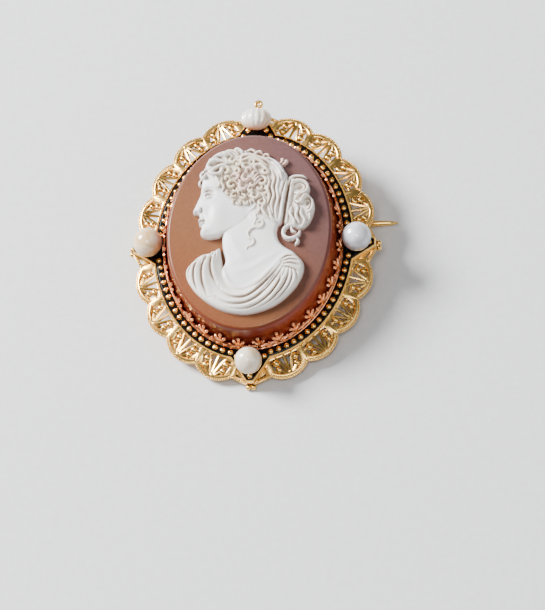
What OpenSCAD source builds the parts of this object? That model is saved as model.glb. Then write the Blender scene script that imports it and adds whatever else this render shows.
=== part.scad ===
// Cameo brooch: banded agate cameo in a claw collet, enamel band with gold grains,
// four pearls, pierced border of sixteen lobes, hinged pin. Millimetres.
// The brooch is drawn face up with the pin along x, then laid on its fittings and its bottom end balls.

/* [Which piece] */
// Which piece to draw

/* [Stone] */
// Width of the flat face of the stone
face_w = 26.2; // [24:0.1:27]
// Height of the flat face of the stone
face_h = 33.2; // [31:0.1:34.5]
// How far the sloping wall spreads at the base, each side
wall_spread = 0.9; // [0.4:0.05:1.1]
// Level of the underside of the stone
stone_low = 1.3; // [1.0:0.1:1.8]
// Level of the flat face
stone_top = 7.0; // [5.5:0.1:8]
// Width of the bevel round the face
face_bevel = 0.35; // [0.1:0.05:0.6]
// Greatest height of the carved bust above the face
relief_rise = 2.3; // [1.4:0.1:2.8]
// Height of the carved bust
bust_h = 28.0; // [25:0.1:28.6]
// Middle of the carved bust, to the right of the middle of the face
bust_x = 0.2; // [-0.4:0.1:0.4]

/* [Collar] */
// Wall of the collet
collet_wall = 0.32; // [0.25:0.01:0.4]
// Level of the top edge of the collet
collet_top = 2.5; // [2.2:0.05:2.9]
// Width of the ledge that the stone sits on
ledge_w = 1.2; // [0.8:0.1:2]
// Number of trefoil claws
claws = 32; // [24:2:36]
// Level of the claw tips
claw_top = 4.7; // [4.2:0.05:5.2]
// Radius of the ball at a claw tip
claw_ball = 0.3; // [0.22:0.01:0.36]
// Distance of a side lobe of a claw from its middle
claw_side = 0.66; // [0.5:0.02:0.75]

/* [Enamel band] */
// Gap between the collet and the band plate
plate_gap = 0.06; // [0.04:0.01:0.12]
// Width of the band from its inner edge to the outside of its wire
band_w = 1.7; // [1.6:0.02:1.8]
// Reach of a side point beyond the oval of the band
point_side = 3.4; // [3.2:0.1:4.0]
// Reach of the top and bottom point beyond the oval of the band
point_end = 3.6; // [3.3:0.1:4.2]
// Half angle of the four points
point_half = 33; // [30:1:35]
// Half width of the blunt tip of a point
tip_half = 0.6; // [0.56:0.02:0.7]
// Level of the underside of the plate
plate_low = 0.2; // [0.15:0.05:0.4]
// Thickness of the plate
plate_t = 0.55; // [0.45:0.05:0.7]
// Thickness of the enamel
enamel_t = 0.4; // [0.3:0.05:0.5]
// Width of the gold edge wire
wire_w = 0.3; // [0.25:0.01:0.36]
// Radius of a gold grain
grain_r = 0.44; // [0.38:0.01:0.46]
// Number of steps between grains on each quarter of the band
grain_steps = 23; // [22:1:26]

/* [Pearls] */
// Radius of the left and right pearls
pearl_side_r = 2.35; // [2.2:0.05:2.4]
// Radius of the bottom pearl
pearl_bottom_r = 2.18; // [2.0:0.05:2.35]
// Width of the fluted top pearl
pearl_top_w = 5.0; // [4.6:0.1:5.2]
// Depth of the fluted top pearl, across the width
pearl_top_d = 3.7; // [3.4:0.1:4.0]
// Height of the fluted top pearl
pearl_top_h = 3.5; // [3.2:0.1:3.8]
// Number of flutes
flutes = 16; // [12:1:20]
// Centre of a side pearl beyond the oval of the band
pearl_side_out = 0.65; // [0.5:0.05:0.8]
// Centre of the bottom pearl beyond the oval of the band
pearl_bottom_out = 0.85; // [0.75:0.05:1.0]
// Centre of the top pearl beyond the oval of the band
pearl_top_out = 1.6; // [1.4:0.05:1.7]
// Radius of the cup under a pearl
cup_r = 1.15; // [1.0:0.05:1.25]
// Radius of the hole drilled in a pearl for its peg
drill_r = 0.45; // [0.4:0.05:0.5]
// Depth of the drilled hole
drill_deep = 1.6; // [1.2:0.1:1.8]
// Play between a pearl and its cup and peg
pearl_play = 0.03; // [0.02:0.01:0.05]

/* [Border] */
// Distance from the band to the notches between the lobes at the sides
notch_side = 2.4; // [2.2:0.05:2.7]
// Distance from the band to the notches between the lobes at top and bottom
notch_end_out = 2.8; // [2.5:0.05:3.1]
// Rise of a lobe above the line between its notches
lobe_rise = 1.4; // [1.2:0.05:1.6]
// Width of the rim round a lobe
rim_w = 0.72; // [0.6:0.02:0.8]
// Distance of the first notch from the axis of a side point
flank_side = 3.0; // [2.8:0.1:3.2]
// Distance of the first notch from the axis of the top and bottom point
flank_end = 3.1; // [2.9:0.1:3.3]
// Slope of the lobes, down towards the outside
slope = 11; // [6:1:14]
// Thickness of the border
border_t = 0.7; // [0.6:0.05:0.8]
// Level of the outer edge of the border
border_edge = 0.0; // [-0.1:0.05:0.1]
// Width of a leaf of the palmette at its thick end
leaf_w = 0.36; // [0.3:0.02:0.4]
// Angle between the middle leaf and the next ones
leaf_turn = 17; // [15:0.5:18]
// Radius of the round ends of the palmette's scrolls
curl_r = 0.4; // [0.36:0.01:0.42]
// Distance of the scroll ends from the middle of a lobe
curl_out = 1.38; // [1.34:0.02:1.42]
// Width of the solid web beside the opening of a lobe
lobe_side = 0.9; // [0.8:0.05:1.0]

/* [End balls and eye] */
// Radius of an end ball
end_ball = 0.45; // [0.4:0.01:0.5]
// Level of the centre of the end balls
end_level = -0.5; // [-0.6:0.05:-0.45]
// Outside radius of the eye at the top
eye_r = 0.75; // [0.7:0.01:0.85]
// Radius of the hole in the eye
eye_hole = 0.3; // [0.26:0.01:0.34]
// Thickness of the eye
eye_t = 0.8; // [0.7:0.05:0.9]

/* [Back] */
// Thickness of the oval bar at the back
bar_t = 0.8; // [0.7:0.05:1.0]
// Width of the oval bar at the back
bar_w = 2.2; // [1.8:0.1:2.6]
// Distance of the pin above the middle of the brooch
pin_y = 5.4; // [5.0:0.1:6.0]
// Level of the pin axis behind the border
pin_level = -4.3; // [-4.5:0.1:-4.1]
// Distance of hinge and catch inside the outer edge of the bar
fitting_in = 1.4; // [1.2:0.1:1.6]
// Diameter of the pin
pin_d = 1.1; // [1.0:0.02:1.16]
// How far the pin's tip stands out beyond the side point
pin_past = 3.0; // [2.8:0.1:4]
// Length of the pointed end of the pin
pin_point = 4.5; // [4:0.1:5.5]
// Radius of the knuckle on the pin
knuckle_r = 1.0; // [0.9:0.02:1.05]
// Length of the thicker root of the pin, from the hinge axis
root_long = 2.4; // [2.2:0.1:3]
// Diameter of the thicker, faceted root of the pin
root_d = 1.36; // [1.25:0.02:1.4]
// Radius of the rivet
rivet_r = 0.42; // [0.38:0.01:0.46]
// Width of the middle knuckle on the pin
knuckle_w = 1.5; // [1.4:0.05:1.7]
// Width of each outer knuckle
cheek_w = 1.1; // [1.0:0.05:1.2]
// Play of the pin on its rivet
rivet_play = 0.05; // [0.03:0.01:0.08]
// Play beside the middle knuckle
side_play = 0.08; // [0.06:0.01:0.12]
// Inside radius of the catch
catch_in = 1.05; // [1.0:0.01:1.12]
// Thickness of the strip of the catch
catch_t = 0.6; // [0.5:0.05:0.65]
// Width of the strip of the catch
catch_w = 2.2; // [1.8:0.1:2.6]

/* [Hidden] */
gap = 0.03;
round_n = 48;
oval_n = 96;
face_a = face_w / 2;
face_b = face_h / 2;
base_a = face_a + wall_spread;
base_b = face_b + wall_spread;
collet_in_a = base_a + gap;
collet_in_b = base_b + gap;
collet_out_a = collet_in_a + collet_wall;
collet_out_b = collet_in_b + collet_wall;
plate_in_a = collet_out_a + plate_gap;
plate_in_b = collet_out_b + plate_gap;
band_a = plate_in_a + band_w;
band_b = plate_in_b + band_w;
point_x = band_a + point_side;
point_y = band_b + point_end;
pearl_x = band_a + pearl_side_out;
pearl_top_y = band_b + pearl_top_out;
pearl_bottom_y = band_b + pearl_bottom_out;
pearl_top_a = pearl_top_w / 2;
pearl_top_b = pearl_top_d / 2;
pearl_top_c = pearl_top_h / 2;
plate_top = plate_low + plate_t;
enamel_top = plate_top + gap + enamel_t;
wire_top = enamel_top + 0.15;
grain_level = enamel_top - 0.08;
grain_inset = (band_w + wire_w) / 2;
pearl_side_z = wire_top + pearl_side_r - 0.1;
pearl_bottom_z = wire_top + pearl_bottom_r - 0.1;
pearl_top_z = wire_top + pearl_top_c - 0.1;
notch_a = band_a + notch_side;
notch_b = band_b + notch_end_out;
bar_top = plate_low - gap - 0.55;
bar_low = bar_top - bar_t;
bar_a = band_a - 0.3;
bar_b = band_b - 0.3;
hinge_x = bar_a - fitting_in;
catch_x = bar_a - fitting_in;
pin_tip_x = point_x + pin_past;
pin_r = pin_d / 2;
hole_r = rivet_r + rivet_play;
lip_angle = acos((pin_r + 0.06) / catch_in);
catch_out = catch_in + catch_t;
lip_y = pin_y - catch_out * cos(lip_angle);
lip_z = pin_level - catch_out * sin(lip_angle);
ball_y = -(point_y + 0.35);
rest_dy = lip_y - ball_y;
rest_dz = lip_z - end_level;
rest_tilt = asin(-end_ball / norm([rest_dy, rest_dz])) - atan2(rest_dz, rest_dy);
rest_low = lip_y * sin(rest_tilt) + lip_z * cos(rest_tilt);
mid_x = (pin_tip_x - point_x - 0.35 - end_ball) / 2;
eye_far = point_y + 1.6 + eye_r;
mid_y = (eye_far * cos(rest_tilt) - plate_low * sin(rest_tilt)
    + ball_y * cos(rest_tilt) - end_level * sin(rest_tilt) - end_ball) / 2;
cheek_y = knuckle_w / 2 + side_play + cheek_w;
cheek_r = pin_level + ((pin_y - cheek_y) * sin(rest_tilt) - rest_low) / cos(rest_tilt);

function oval_pt(a, b, t) = [a * cos(t), b * sin(t)];
function oval_nm(a, b, t) = [cos(t) / a, sin(t) / b] / norm([cos(t) / a, sin(t) / b]);
function oval(a, b, n) = [for (i = [0 : n - 1]) oval_pt(a, b, i * 360 / n)];
function arc_table(a, b, n) = [for (i = 0, s = 0; i <= n;
    s = s + norm(oval_pt(a, b, (i + 1) * 360 / n) - oval_pt(a, b, i * 360 / n)), i = i + 1) [s, i * 360 / n]];
function point_hit(x, a, b, h) = let (
    qa = pow(cos(h) / a, 2) + pow(sin(h) / b, 2),
    qb = -2 * x * cos(h) / (a * a),
    qc = x * x / (a * a) - 1)
    (-qb - sqrt(qb * qb - 4 * qa * qc)) / (2 * qa);
// Where the two flanks of a point would meet, and half its blunt tip, both d inside the edge
function apex(reach, d) = reach + tip_half / tan(point_half) - d / sin(point_half);
function tip_inside(d) = tip_half - d * (1 - sin(point_half)) / cos(point_half);
function side_corner(d) = let (x = apex(point_x, d), s = point_hit(x, band_a - d, band_b - d, point_half))
    [x - s * cos(point_half), s * sin(point_half)];
function end_corner(d) = let (y = apex(point_y, d), s = point_hit(y, band_b - d, band_a - d, point_half))
    [s * sin(point_half), y - s * cos(point_half)];
function turn_of(p, a, b) = atan2(p[1] / b, p[0] / a);
function quarter(d, n) = let (
    a = band_a - d, b = band_b - d,
    p = side_corner(d), q = end_corner(d),
    t0 = turn_of(p, a, b), t1 = turn_of(q, a, b))
    concat([[point_x - d, 0], [point_x - d, tip_inside(d)]],
        [for (i = [0 : n]) oval_pt(a, b, t0 + (t1 - t0) * i / n)],
        [[tip_inside(d), point_y - d], [0, point_y - d]]);
function flip(list) = [for (i = [len(list) - 1 : -1 : 0]) list[i]];
function cut_last(list) = [for (i = [0 : len(list) - 2]) list[i]];
function band_line(d, n) = let (q = quarter(d, n)) concat(
    cut_last(q),
    cut_last([for (p = flip(q)) [-p[0], p[1]]]),
    cut_last([for (p = q) [-p[0], -p[1]]]),
    cut_last([for (p = flip(q)) [p[0], -p[1]]]));
function run_table(list) = [for (i = 0, s = 0; i < len(list);
    s = s + (i < len(list) - 1 ? norm(list[i + 1] - list[i]) : 0), i = i + 1) [s, i]];
function run_pt(list, table, s) = let (u = lookup(s, table), i = min(floor(u), len(list) - 2))
    list[i] + (list[i + 1] - list[i]) * (u - i);

grain_line = quarter(grain_inset, 40);
grain_table = run_table(grain_line);
grain_run = grain_table[len(grain_table) - 1][0];
grain_first = [for (i = [0 : grain_steps]) run_pt(grain_line, grain_table, grain_run * i / grain_steps)];
pearl_spots = [[pearl_x, 0], [0, pearl_top_y], [-pearl_x, 0], [0, -pearl_bottom_y]];
function clear_of_cups(p) = min([for (c = pearl_spots) norm(p - c)]) > cup_r + grain_r + 0.12;
grain_all = concat(
    [for (i = [0 : grain_steps - 1]) grain_first[i]],
    [for (i = [grain_steps : -1 : 1]) [-grain_first[i][0], grain_first[i][1]]],
    [for (i = [0 : grain_steps - 1]) -grain_first[i]],
    [for (i = [grain_steps : -1 : 1]) [grain_first[i][0], -grain_first[i][1]]]);
grain_spots = [for (p = grain_all) if (clear_of_cups(p)) p];

notch_table = arc_table(notch_a, notch_b, 720);
notch_back = [for (row = notch_table) [row[1], row[0]]];
notch_start = lookup(asin(flank_side / notch_b), notch_back);
notch_end = lookup(acos(flank_end / notch_a), notch_back);
lobe_step = (notch_end - notch_start) / 4;
function notch_turn(i) = lookup(notch_start + i * lobe_step, notch_table);

// Lays the finished brooch on the surface
module rest() {
    translate([-mid_x, -mid_y, -rest_low])
    rotate([rest_tilt, 0, 0])
    children();
}

module slab(points, low, high) {
    translate([0, 0, low])
    linear_extrude(height = high - low)
    polygon(points);
}

// The stone: sloping wall, narrow bevel, flat face
module cameo_ground() {
    bevel_low = stone_top - face_bevel;
    spread = wall_spread * face_bevel / (stone_top - stone_low);
    rows = [[stone_low, wall_spread], [bevel_low, spread], [stone_top, -face_bevel]];
    n = oval_n;
    points = [for (row = rows) each [for (p = oval(face_a + row[1], face_b + row[1], n)) [p[0], p[1], row[0]]]];
    walls = [for (k = [0 : 1], i = [0 : n - 1]) [k * n + i, (k + 1) * n + i, (k + 1) * n + (i + 1) % n, k * n + (i + 1) % n]];
    rest()
    polyhedron(points = points, faces = concat([[for (i = [0 : n - 1]) i]], walls,
        [[for (i = [n - 1 : -1 : 0]) 2 * n + i]]));
}

// The white layer carved as a bust in profile, in hundredths of its height
// Columns: x, y, depth, radius
module blob(row) {
    k = bust_h / 100;
    translate([row[0] * k, row[1] * k, row[2] * k])
    sphere(r = row[3] * k, $fn = row[3] > 5 ? 10 : row[3] > 3 ? 8 : 6);
}

module mass(rows) {
    hull() {
        for (row = rows) blob(row);
    }
}

module chain(rows) {
    for (i = [0 : len(rows) - 2]) {
        hull() {
            blob(rows[i]);
            blob(rows[i + 1]);
        }
    }
}

module bust() {
    // skull under the hair, face, jaw
    mass([[-12, 32, 0, 15.5], [5, 30.5, 0, 17.5], [2, 20, 0, 15]]);
    mass([[-21.5, 33, 1, 5.4], [-23.6, 23, 1, 3.8], [-22.4, 6, 1, 5], [-11, 12, 4, 10.4]]);
    mass([[-23, 0.4, 2, 3.6], [-5, 8, 5, 6.5]]);
    // nose, lips, chin, ear
    mass([[-25.8, 25, 1.5, 1.6], [-30, 11.6, 1.5, 1.7], [-26.2, 10.4, 1.5, 2]]);
    blob([-26.6, 6.4, 1.5, 1.9]);
    blob([-26.3, 3.2, 1.5, 1.9]);
    blob([-24, -0.8, 1.5, 3.3]);
    chain([[-1.5, 20, 14, 1.6], [0.5, 17, 14.4, 1.8], [-1.8, 13.5, 14, 1.4]]);
    // neck and chest
    mass([[-7, 6, 2, 8.2], [3, 7, 2, 9.5], [-5, -18, 1, 10], [7, -18, 1, 10.5]]);
    mass([[-27, -24, 0, 6.5], [-21, -33.5, 0, 6.5], [-11.5, -40.6, 0, 6.5], [0, -43.6, 0, 6.4], [11.5, -40.6, 0, 6.5],
        [21, -33.5, 0, 6.5], [26.4, -23.5, 0, 6.6], [-13, -22, 2, 8], [13, -22, 2, 8.5]]);
    // folds of the dress across the chest
    for (k = [0 : 3]) {
        chain([[-21 + k, -21 - 5 * k, 7.4 - k / 2, 1.6], [-10 + k, -29 - 4 * k, 9.8 - k, 1.6],
            [3, -31.5 - 3.6 * k, 10 - k, 1.6], [14, -28 - 4 * k, 9.6 - k, 1.6], [22 - k, -21 - 5 * k, 7.4 - k / 2, 1.5]]);
    }
    // strap on the far shoulder and bunched folds on the near one
    chain([[10, -13.5, 10, 2.4], [18, -18, 8.6, 2.8], [26, -22, 6.6, 2.6], [29.5, -28, 5, 1.8]]);
    for (k = [0 : 2]) {
        chain([[-14 - 4 * k, -16.5 - k, 8 - k, 1.8], [-19 - 4 * k, -25, 6.6 - k / 2, 1.7], [-18 - 3 * k, -33, 5, 1.3]]);
    }
    // curls over crown and temple
    for (row = [[-22.5, 36, 4, 3.9], [-17, 43, 4, 4.2], [-8.5, 46.4, 4, 4.1], [0.5, 47, 4, 4.0],
        [9, 44.5, 6, 4.2], [-18.5, 29.5, 9, 3.6], [-13, 36.5, 11, 4.2], [-4.5, 39.5, 13, 4.3],
        [4, 38.5, 14, 4.0], [-14.5, 23, 11, 3.5], [-9, 29.5, 14, 3.9], [-0.5, 31, 16, 4.1],
        [-6.5, 22.5, 14.5, 3.6], [7, 30, 16, 3.8]]) {
        hull() {
            blob(row);
            blob([row[0] + 1.6, row[1] - 1.4, row[2], row[3] * 0.8]);
        }
    }
    // ribbons behind the crown
    for (k = [0 : 1]) {
        chain([[11 + 4 * k, 45 - 3 * k, 9, 1.7], [15.5 + 4 * k, 34, 12 - 2 * k, 1.9], [16 + 3.6 * k, 22, 12 - 2 * k, 1.8]]);
    }
    // gathered knot of curls and the lock on the neck
    mass([[21, 26, 3, 7], [25, 15, 3, 7], [17, 14, 3, 7]]);
    for (row = [[24, 34, 5, 4.4], [30.5, 28, 4, 4.8], [31.5, 18.5, 4, 4.4], [27.5, 10, 5, 4.6],
        [22.5, 20.5, 10, 4.2], [20, 8.5, 7, 4.2]]) {
        blob(row);
    }
    chain([[27, 8, 4, 3.6], [24.5, 2.5, 3, 3.2]]);
    chain([[8, 12, 12, 2.4], [5, 5, 12, 2.4], [9.5, -2, 11, 2.4], [6.5, -9.5, 10.5, 1.7]]);
}

module cameo_relief() {
    rest()
    intersection() {
        translate([0, 0, stone_top + gap])
        linear_extrude(height = relief_rise * 2)
        polygon(oval(face_a - face_bevel - 0.3, face_b - face_bevel - 0.3, 64));
        translate([bust_x, 0, stone_top])
        scale([1, 1, relief_rise / (bust_h * 0.2)])
        bust();
    }
}

// Collet with ledge, foot wire, rim wire and trefoil claws
collar_table = arc_table(collet_out_a, collet_out_b, 720);
collar_run = collar_table[720][0];

module claw() {
    lean = -wall_spread * (claw_top - stone_low) / (stone_top - stone_low) + claw_ball;
    foot = collet_wall / 2;
    hull() {
        translate([foot, 0, collet_top - 0.3])
        sphere(r = 0.2, $fn = 4);
        translate([lean, 0, claw_top - claw_ball])
        sphere(r = claw_ball, $fn = 6);
    }
    for (s = [-1, 1]) {
        hull() {
            translate([foot, 0, collet_top + 0.3])
            sphere(r = 0.18, $fn = 4);
            translate([lean + 0.12, s * claw_side, claw_top - 2.6 * claw_ball])
            sphere(r = claw_ball * 0.85, $fn = 4);
        }
    }
}

module claw_collar() {
    rest()
    union() {
        difference() {
            slab(oval(collet_out_a, collet_out_b, 56), bar_top, collet_top);
            slab(oval(collet_in_a, collet_in_b, 56), stone_low - gap, collet_top + 1);
            slab(oval(base_a - ledge_w, base_b - ledge_w, 56), bar_top - 1, stone_low + 1);
        }
        for (i = [0 : claws - 1]) {
            t = lookup((i + 0.5) * collar_run / claws, collar_table);
            p = oval_pt(collet_in_a, collet_in_b, t);
            n = oval_nm(collet_in_a, collet_in_b, t);
            translate([p[0], p[1], 0])
            rotate([0, 0, atan2(n[1], n[0])])
            claw();
        }
    }
}

// A round grain on a short stalk
module grain(stalk) {
    rotate_extrude($fn = 8)
    polygon([[0, 0], [grain_r, 0], [grain_r, stalk + grain_r * 0.3], [grain_r * 0.55, stalk + grain_r * 0.9], [0, stalk + grain_r * 0.9]]);
}

// Gold plate of the band with its wire, grains, pearl cups and the eye
module cup(x, y, r, z) {
    cup_in = cup_r - 0.3;
    cup_top = z - sqrt(r * r - cup_in * cup_in) - pearl_play;
    translate([x, y, 0])
    difference() {
        translate([0, 0, plate_low + 0.1])
        cylinder(r = cup_r, h = cup_top - plate_low - 0.1, $fn = 12);
        translate([0, 0, z - r - pearl_play])
        cylinder(r = cup_in, h = r, $fn = 12);
    }
    translate([x, y, plate_low + 0.1])
    cylinder(r = drill_r - pearl_play, h = z - r + drill_deep - 0.15 - plate_low - 0.1, $fn = 12);
}

module band_plate() {
    eye_y = point_y + 1.6;
    rest()
    union() {
        difference() {
            slab(band_line(0, 18), plate_low, wire_top);
            slab(band_line(wire_w, 18), plate_top, wire_top + 1);
            slab(oval(plate_in_a, plate_in_b, 72), plate_low - 1, wire_top + 1);
        }
        for (p = grain_spots) {
            translate([p[0], p[1], plate_top - 0.05])
            grain(grain_level - plate_top + 0.05);
        }
        cup(pearl_x, 0, pearl_side_r, pearl_side_z);
        cup(-pearl_x, 0, pearl_side_r, pearl_side_z);
        cup(0, -pearl_bottom_y, pearl_bottom_r, pearl_bottom_z);
        translate([0, pearl_top_y, plate_low + 0.1])
        cylinder(r = cup_r, h = pearl_top_z - pearl_top_c - pearl_play - plate_low - 0.1, $fn = 12);
        translate([0, pearl_top_y, plate_low + 0.1])
        cylinder(r = drill_r - pearl_play, h = pearl_top_z - pearl_top_c + drill_deep - 0.15 - plate_low - 0.1, $fn = 12);
        difference() {
            union() {
                translate([0, eye_y, plate_low])
                cylinder(r = eye_r, h = eye_t, $fn = round_n);
                translate([-0.6, point_y - 1, plate_low])
                cube([1.2, 1.9, eye_t]);
            }
            translate([0, eye_y, plate_low - 1])
            cylinder(r = eye_hole, h = eye_t + 2, $fn = round_n);
        }
    }
}

// Black enamel laid round the grains and cups
module enamel_band() {
    rest()
    difference() {
        slab(band_line(wire_w + gap, 18), plate_top + gap, enamel_top);
        slab(oval(plate_in_a + 0.04, plate_in_b + 0.04, 72), plate_low, enamel_top + 1);
        for (p = grain_spots) {
            translate([p[0], p[1], plate_low])
            cylinder(r = grain_r + gap, h = enamel_top, $fn = 8);
        }
        for (p = pearl_spots) {
            translate([p[0], p[1], plate_low])
            cylinder(r = cup_r + gap, h = enamel_top, $fn = 12);
        }
        translate([-0.66, point_y - 1.05, plate_low])
        cube([1.32, 2, enamel_top]);
    }
}

// One lobe, flat, middle of its chord at the origin, outside towards y
module leaf(turn, long) {
    rotate([0, 0, turn])
    polygon([[-0.1, 0], [-leaf_w / 2, -long * 0.62], [-leaf_w * 0.36, -long], [leaf_w * 0.36, -long],
        [leaf_w / 2, -long * 0.62], [0.1, 0]]);
}

module scroll(x0, y0, x1, y1, r) {
    translate([x1, y1])
    circle(r = r, $fn = 10);
    d = [x1 - x0, y1 - y0] / norm([x1 - x0, y1 - y0]) * 0.13;
    polygon([[x0 - d[1], y0 + d[0]], [x1 - d[1], y1 + d[0]], [x1 + d[1], y1 - d[0]], [x0 + d[1], y0 - d[0]]]);
}

module lobe(chord, deep) {
    half = chord / 2;
    big = (half * half + lobe_rise * lobe_rise) / (2 * lobe_rise);
    reach = asin(half / big);
    crest = lobe_rise - rim_w;
    low = -deep + 0.22;
    wide = half - lobe_side;
    root = crest + 0.15;
    knob = [curl_out, root - 1.3];
    leaf_long = (root - low) / cos(leaf_turn) + 0.1;
    difference() {
        polygon(concat(
            [for (i = [0 : 8]) [big * sin(reach * (1 - i / 4)), lobe_rise - big + big * cos(reach * (1 - i / 4))]],
            [[-half - 0.12, -0.3], [-half - 0.12, -deep - 0.7], [half + 0.12, -deep - 0.7], [half + 0.12, -0.3]]));
        difference() {
            polygon(concat([for (i = [0 : 10]) let (t = i * 18)
                [wide * sign(cos(t)) * pow(abs(cos(t)), 0.7), low + (crest - low) * pow(sin(t), 0.75)]]));
            for (turn = [-leaf_turn, 0, leaf_turn]) {
                translate([0, root])
                leaf(turn, leaf_long);
            }
            for (s = [-1, 1]) {
                translate([0, root])
                leaf(s * atan2(knob[0], root - knob[1]), norm([knob[0], root - knob[1]]));
                scroll(s * (wide + 0.05), knob[1] + 0.3, s * knob[0], knob[1], curl_r);
                scroll(s * (wide + 0.1), low + 0.62, s * (knob[0] + 0.06), low + 0.68, curl_r);
            }
        }
    }
}

module flank(notch, tip, s) {
    inner = [notch[0] * 0.87, notch[1] * 0.87];
    far = tip - notch;
    run = far / norm(far);
    inward = [run[1], -run[0]] * s;
    slit = (notch + tip) / 2 - run * 0.25 + inward * 0.58;
    translate([0, 0, border_edge - border_t + 0.15])
    linear_extrude(height = border_t + 0.2)
    difference() {
        polygon([notch - inward * 0.05, tip, tip * 0.9, inner]);
        polygon([slit - run * 0.7 - inward * 0.1, slit + run * 0.6 - inward * 0.04, slit - run * 0.6 + inward * 0.22]);
    }
}

module quarter_border() {
    for (i = [0 : 3]) {
        t0 = notch_turn(i);
        t1 = notch_turn(i + 1);
        p0 = oval_pt(notch_a, notch_b, t0);
        p1 = oval_pt(notch_a, notch_b, t1);
        mid = (p0 + p1) / 2;
        far = p1 - p0;
        turn = atan2(far[1], far[0]);
        tm = (t0 + t1) / 2;
        deep = norm(oval_pt(notch_a, notch_b, tm) - oval_pt(band_a, band_b, tm)) - 0.2;
        translate([mid[0], mid[1], border_edge])
        rotate([0, 0, turn + 180])
        translate([0, lobe_rise, 0])
        rotate([-slope, 0, 0])
        translate([0, -lobe_rise, -border_t])
        linear_extrude(height = border_t)
        lobe(norm(far), deep);
    }
    flank(oval_pt(notch_a, notch_b, notch_turn(0)), [point_x + 0.1, tip_half + 0.1], 1);
    flank(oval_pt(notch_a, notch_b, notch_turn(4)), [tip_half + 0.1, point_y + 0.1], -1);
}

module end_pair(turn, far) {
    rotate([0, 0, turn]) {
        for (s = [-1, 1]) {
            translate([far + 0.35, s * 0.42, end_level])
            sphere(r = end_ball, $fn = 12);
        }
        translate([far - 1.2, -0.4, end_level - 0.1])
        cube([1.5, 0.8, 0.4]);
    }
}

module border() {
    under_low = bar_top + gap;
    rest()
    union() {
        difference() {
            union() {
                for (mx = [0, 1], my = [0, 1]) mirror([mx, 0, 0]) mirror([0, my, 0]) quarter_border();
            }
            slab(band_line(-gap, 18), plate_low - gap, wire_top + 2);
            slab(oval(plate_in_a + 0.3, plate_in_b + 0.3, 72), bar_low - 2, wire_top + 2);
        }
        difference() {
            slab(band_line(0.15, 18), under_low, plate_low - gap);
            slab(oval(plate_in_a + 0.2, plate_in_b + 0.2, 72), bar_low - 2, wire_top + 2);
        }
        end_pair(0, point_x);
        end_pair(180, point_x);
        end_pair(-90, point_y);
    }
}

module pearl(x, y, r, z) {
    rest()
    difference() {
        translate([x, y, z])
        sphere(r = r, $fn = round_n);
        translate([x, y, z - r - 1])
        cylinder(r = drill_r, h = drill_deep + 1, $fn = round_n);
    }
}

module pearl_right() {
    pearl(pearl_x, 0, pearl_side_r, pearl_side_z);
}

module pearl_left() {
    pearl(-pearl_x, 0, pearl_side_r, pearl_side_z);
}

module pearl_bottom() {
    pearl(0, -pearl_bottom_y, pearl_bottom_r, pearl_bottom_z);
}

// Button pearl with flutes that fan from its outer end
module pearl_top() {
    n = flutes * 2;
    rings = 7;
    points = concat([[0, pearl_top_b, 0]],
        [for (j = [1 : rings], i = [0 : n - 1]) let (
            lat = j * 180 / (rings + 1), lon = i * 360 / n,
            w = sin(lat) * (i % 2 == 0 ? 1 : 0.94))
            [pearl_top_a * w * cos(lon), pearl_top_b * cos(lat), pearl_top_c * w * sin(lon)]],
        [[0, -pearl_top_b, 0]]);
    last = rings * n + 1;
    rest()
    difference() {
        translate([0, pearl_top_y, pearl_top_z])
        polyhedron(points = points, faces = concat(
            [for (i = [0 : n - 1]) [0, 1 + i, 1 + (i + 1) % n]],
            [for (j = [0 : rings - 2], i = [0 : n - 1]) each [
                [1 + j * n + i, 1 + (j + 1) * n + i, 1 + (j + 1) * n + (i + 1) % n],
                [1 + j * n + i, 1 + (j + 1) * n + (i + 1) % n, 1 + j * n + (i + 1) % n]]],
            [for (i = [0 : n - 1]) [last, last - n + (i + 1) % n, last - n + i]]));
        translate([0, pearl_top_y, pearl_top_z - pearl_top_c - 1])
        cylinder(r = drill_r, h = drill_deep + 1, $fn = round_n);
    }
}

// Oval bar with the outer knuckles of the hinge and the catch
module across_y(x, y0, long, r) {
    translate([x, y0, pin_level])
    rotate([-90, 0, 0])
    cylinder(r = r, h = long, $fn = round_n);
}

module back_frame() {
    rest()
    union() {
        difference() {
            slab(oval(bar_a, bar_b, 72), bar_low, bar_top);
            slab(oval(bar_a - bar_w, bar_b - bar_w, 72), bar_low - 1, bar_top + 1);
        }
        difference() {
            union() {
                for (s = [-1, 1]) {
                    y0 = pin_y + s * (knuckle_w / 2 + side_play + cheek_w / 2) - cheek_w / 2;
                    across_y(-hinge_x, y0, cheek_w, cheek_r);
                    translate([-hinge_x - cheek_r * 0.8, y0, pin_level])
                    cube([cheek_r * 1.6, cheek_w, bar_low - pin_level + 0.2]);
                }
            }
            across_y(-hinge_x, pin_y - cheek_y - 1, 2 * cheek_y + 2, rivet_r + 0.015);
        }
        translate([-hinge_x - cheek_r * 0.8, pin_y - cheek_y, bar_low - 0.5])
        cube([cheek_r * 1.6, 2 * cheek_y, 0.7]);
        translate([catch_x - catch_w / 2, pin_y, pin_level])
        rotate([90, 0, 90])
        rotate([0, 0, 75])
        rotate_extrude(angle = 105 + lip_angle, $fn = round_n)
        translate([catch_in, 0])
        square([catch_t, catch_w]);
        translate([catch_x - catch_w / 2, pin_y - 0.95, pin_level + catch_in + 0.2])
        cube([catch_w, 1.3, bar_low - pin_level - catch_in]);
    }
}

module hinge_rivet() {
    rest()
    union() {
        across_y(-hinge_x, pin_y - cheek_y - 0.05, 2 * cheek_y + 0.1, rivet_r);
        across_y(-hinge_x, pin_y + cheek_y + 0.02, 0.35, rivet_r + 0.28);
        across_y(-hinge_x, pin_y - cheek_y - 0.37, 0.35, rivet_r + 0.28);
    }
}

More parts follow.
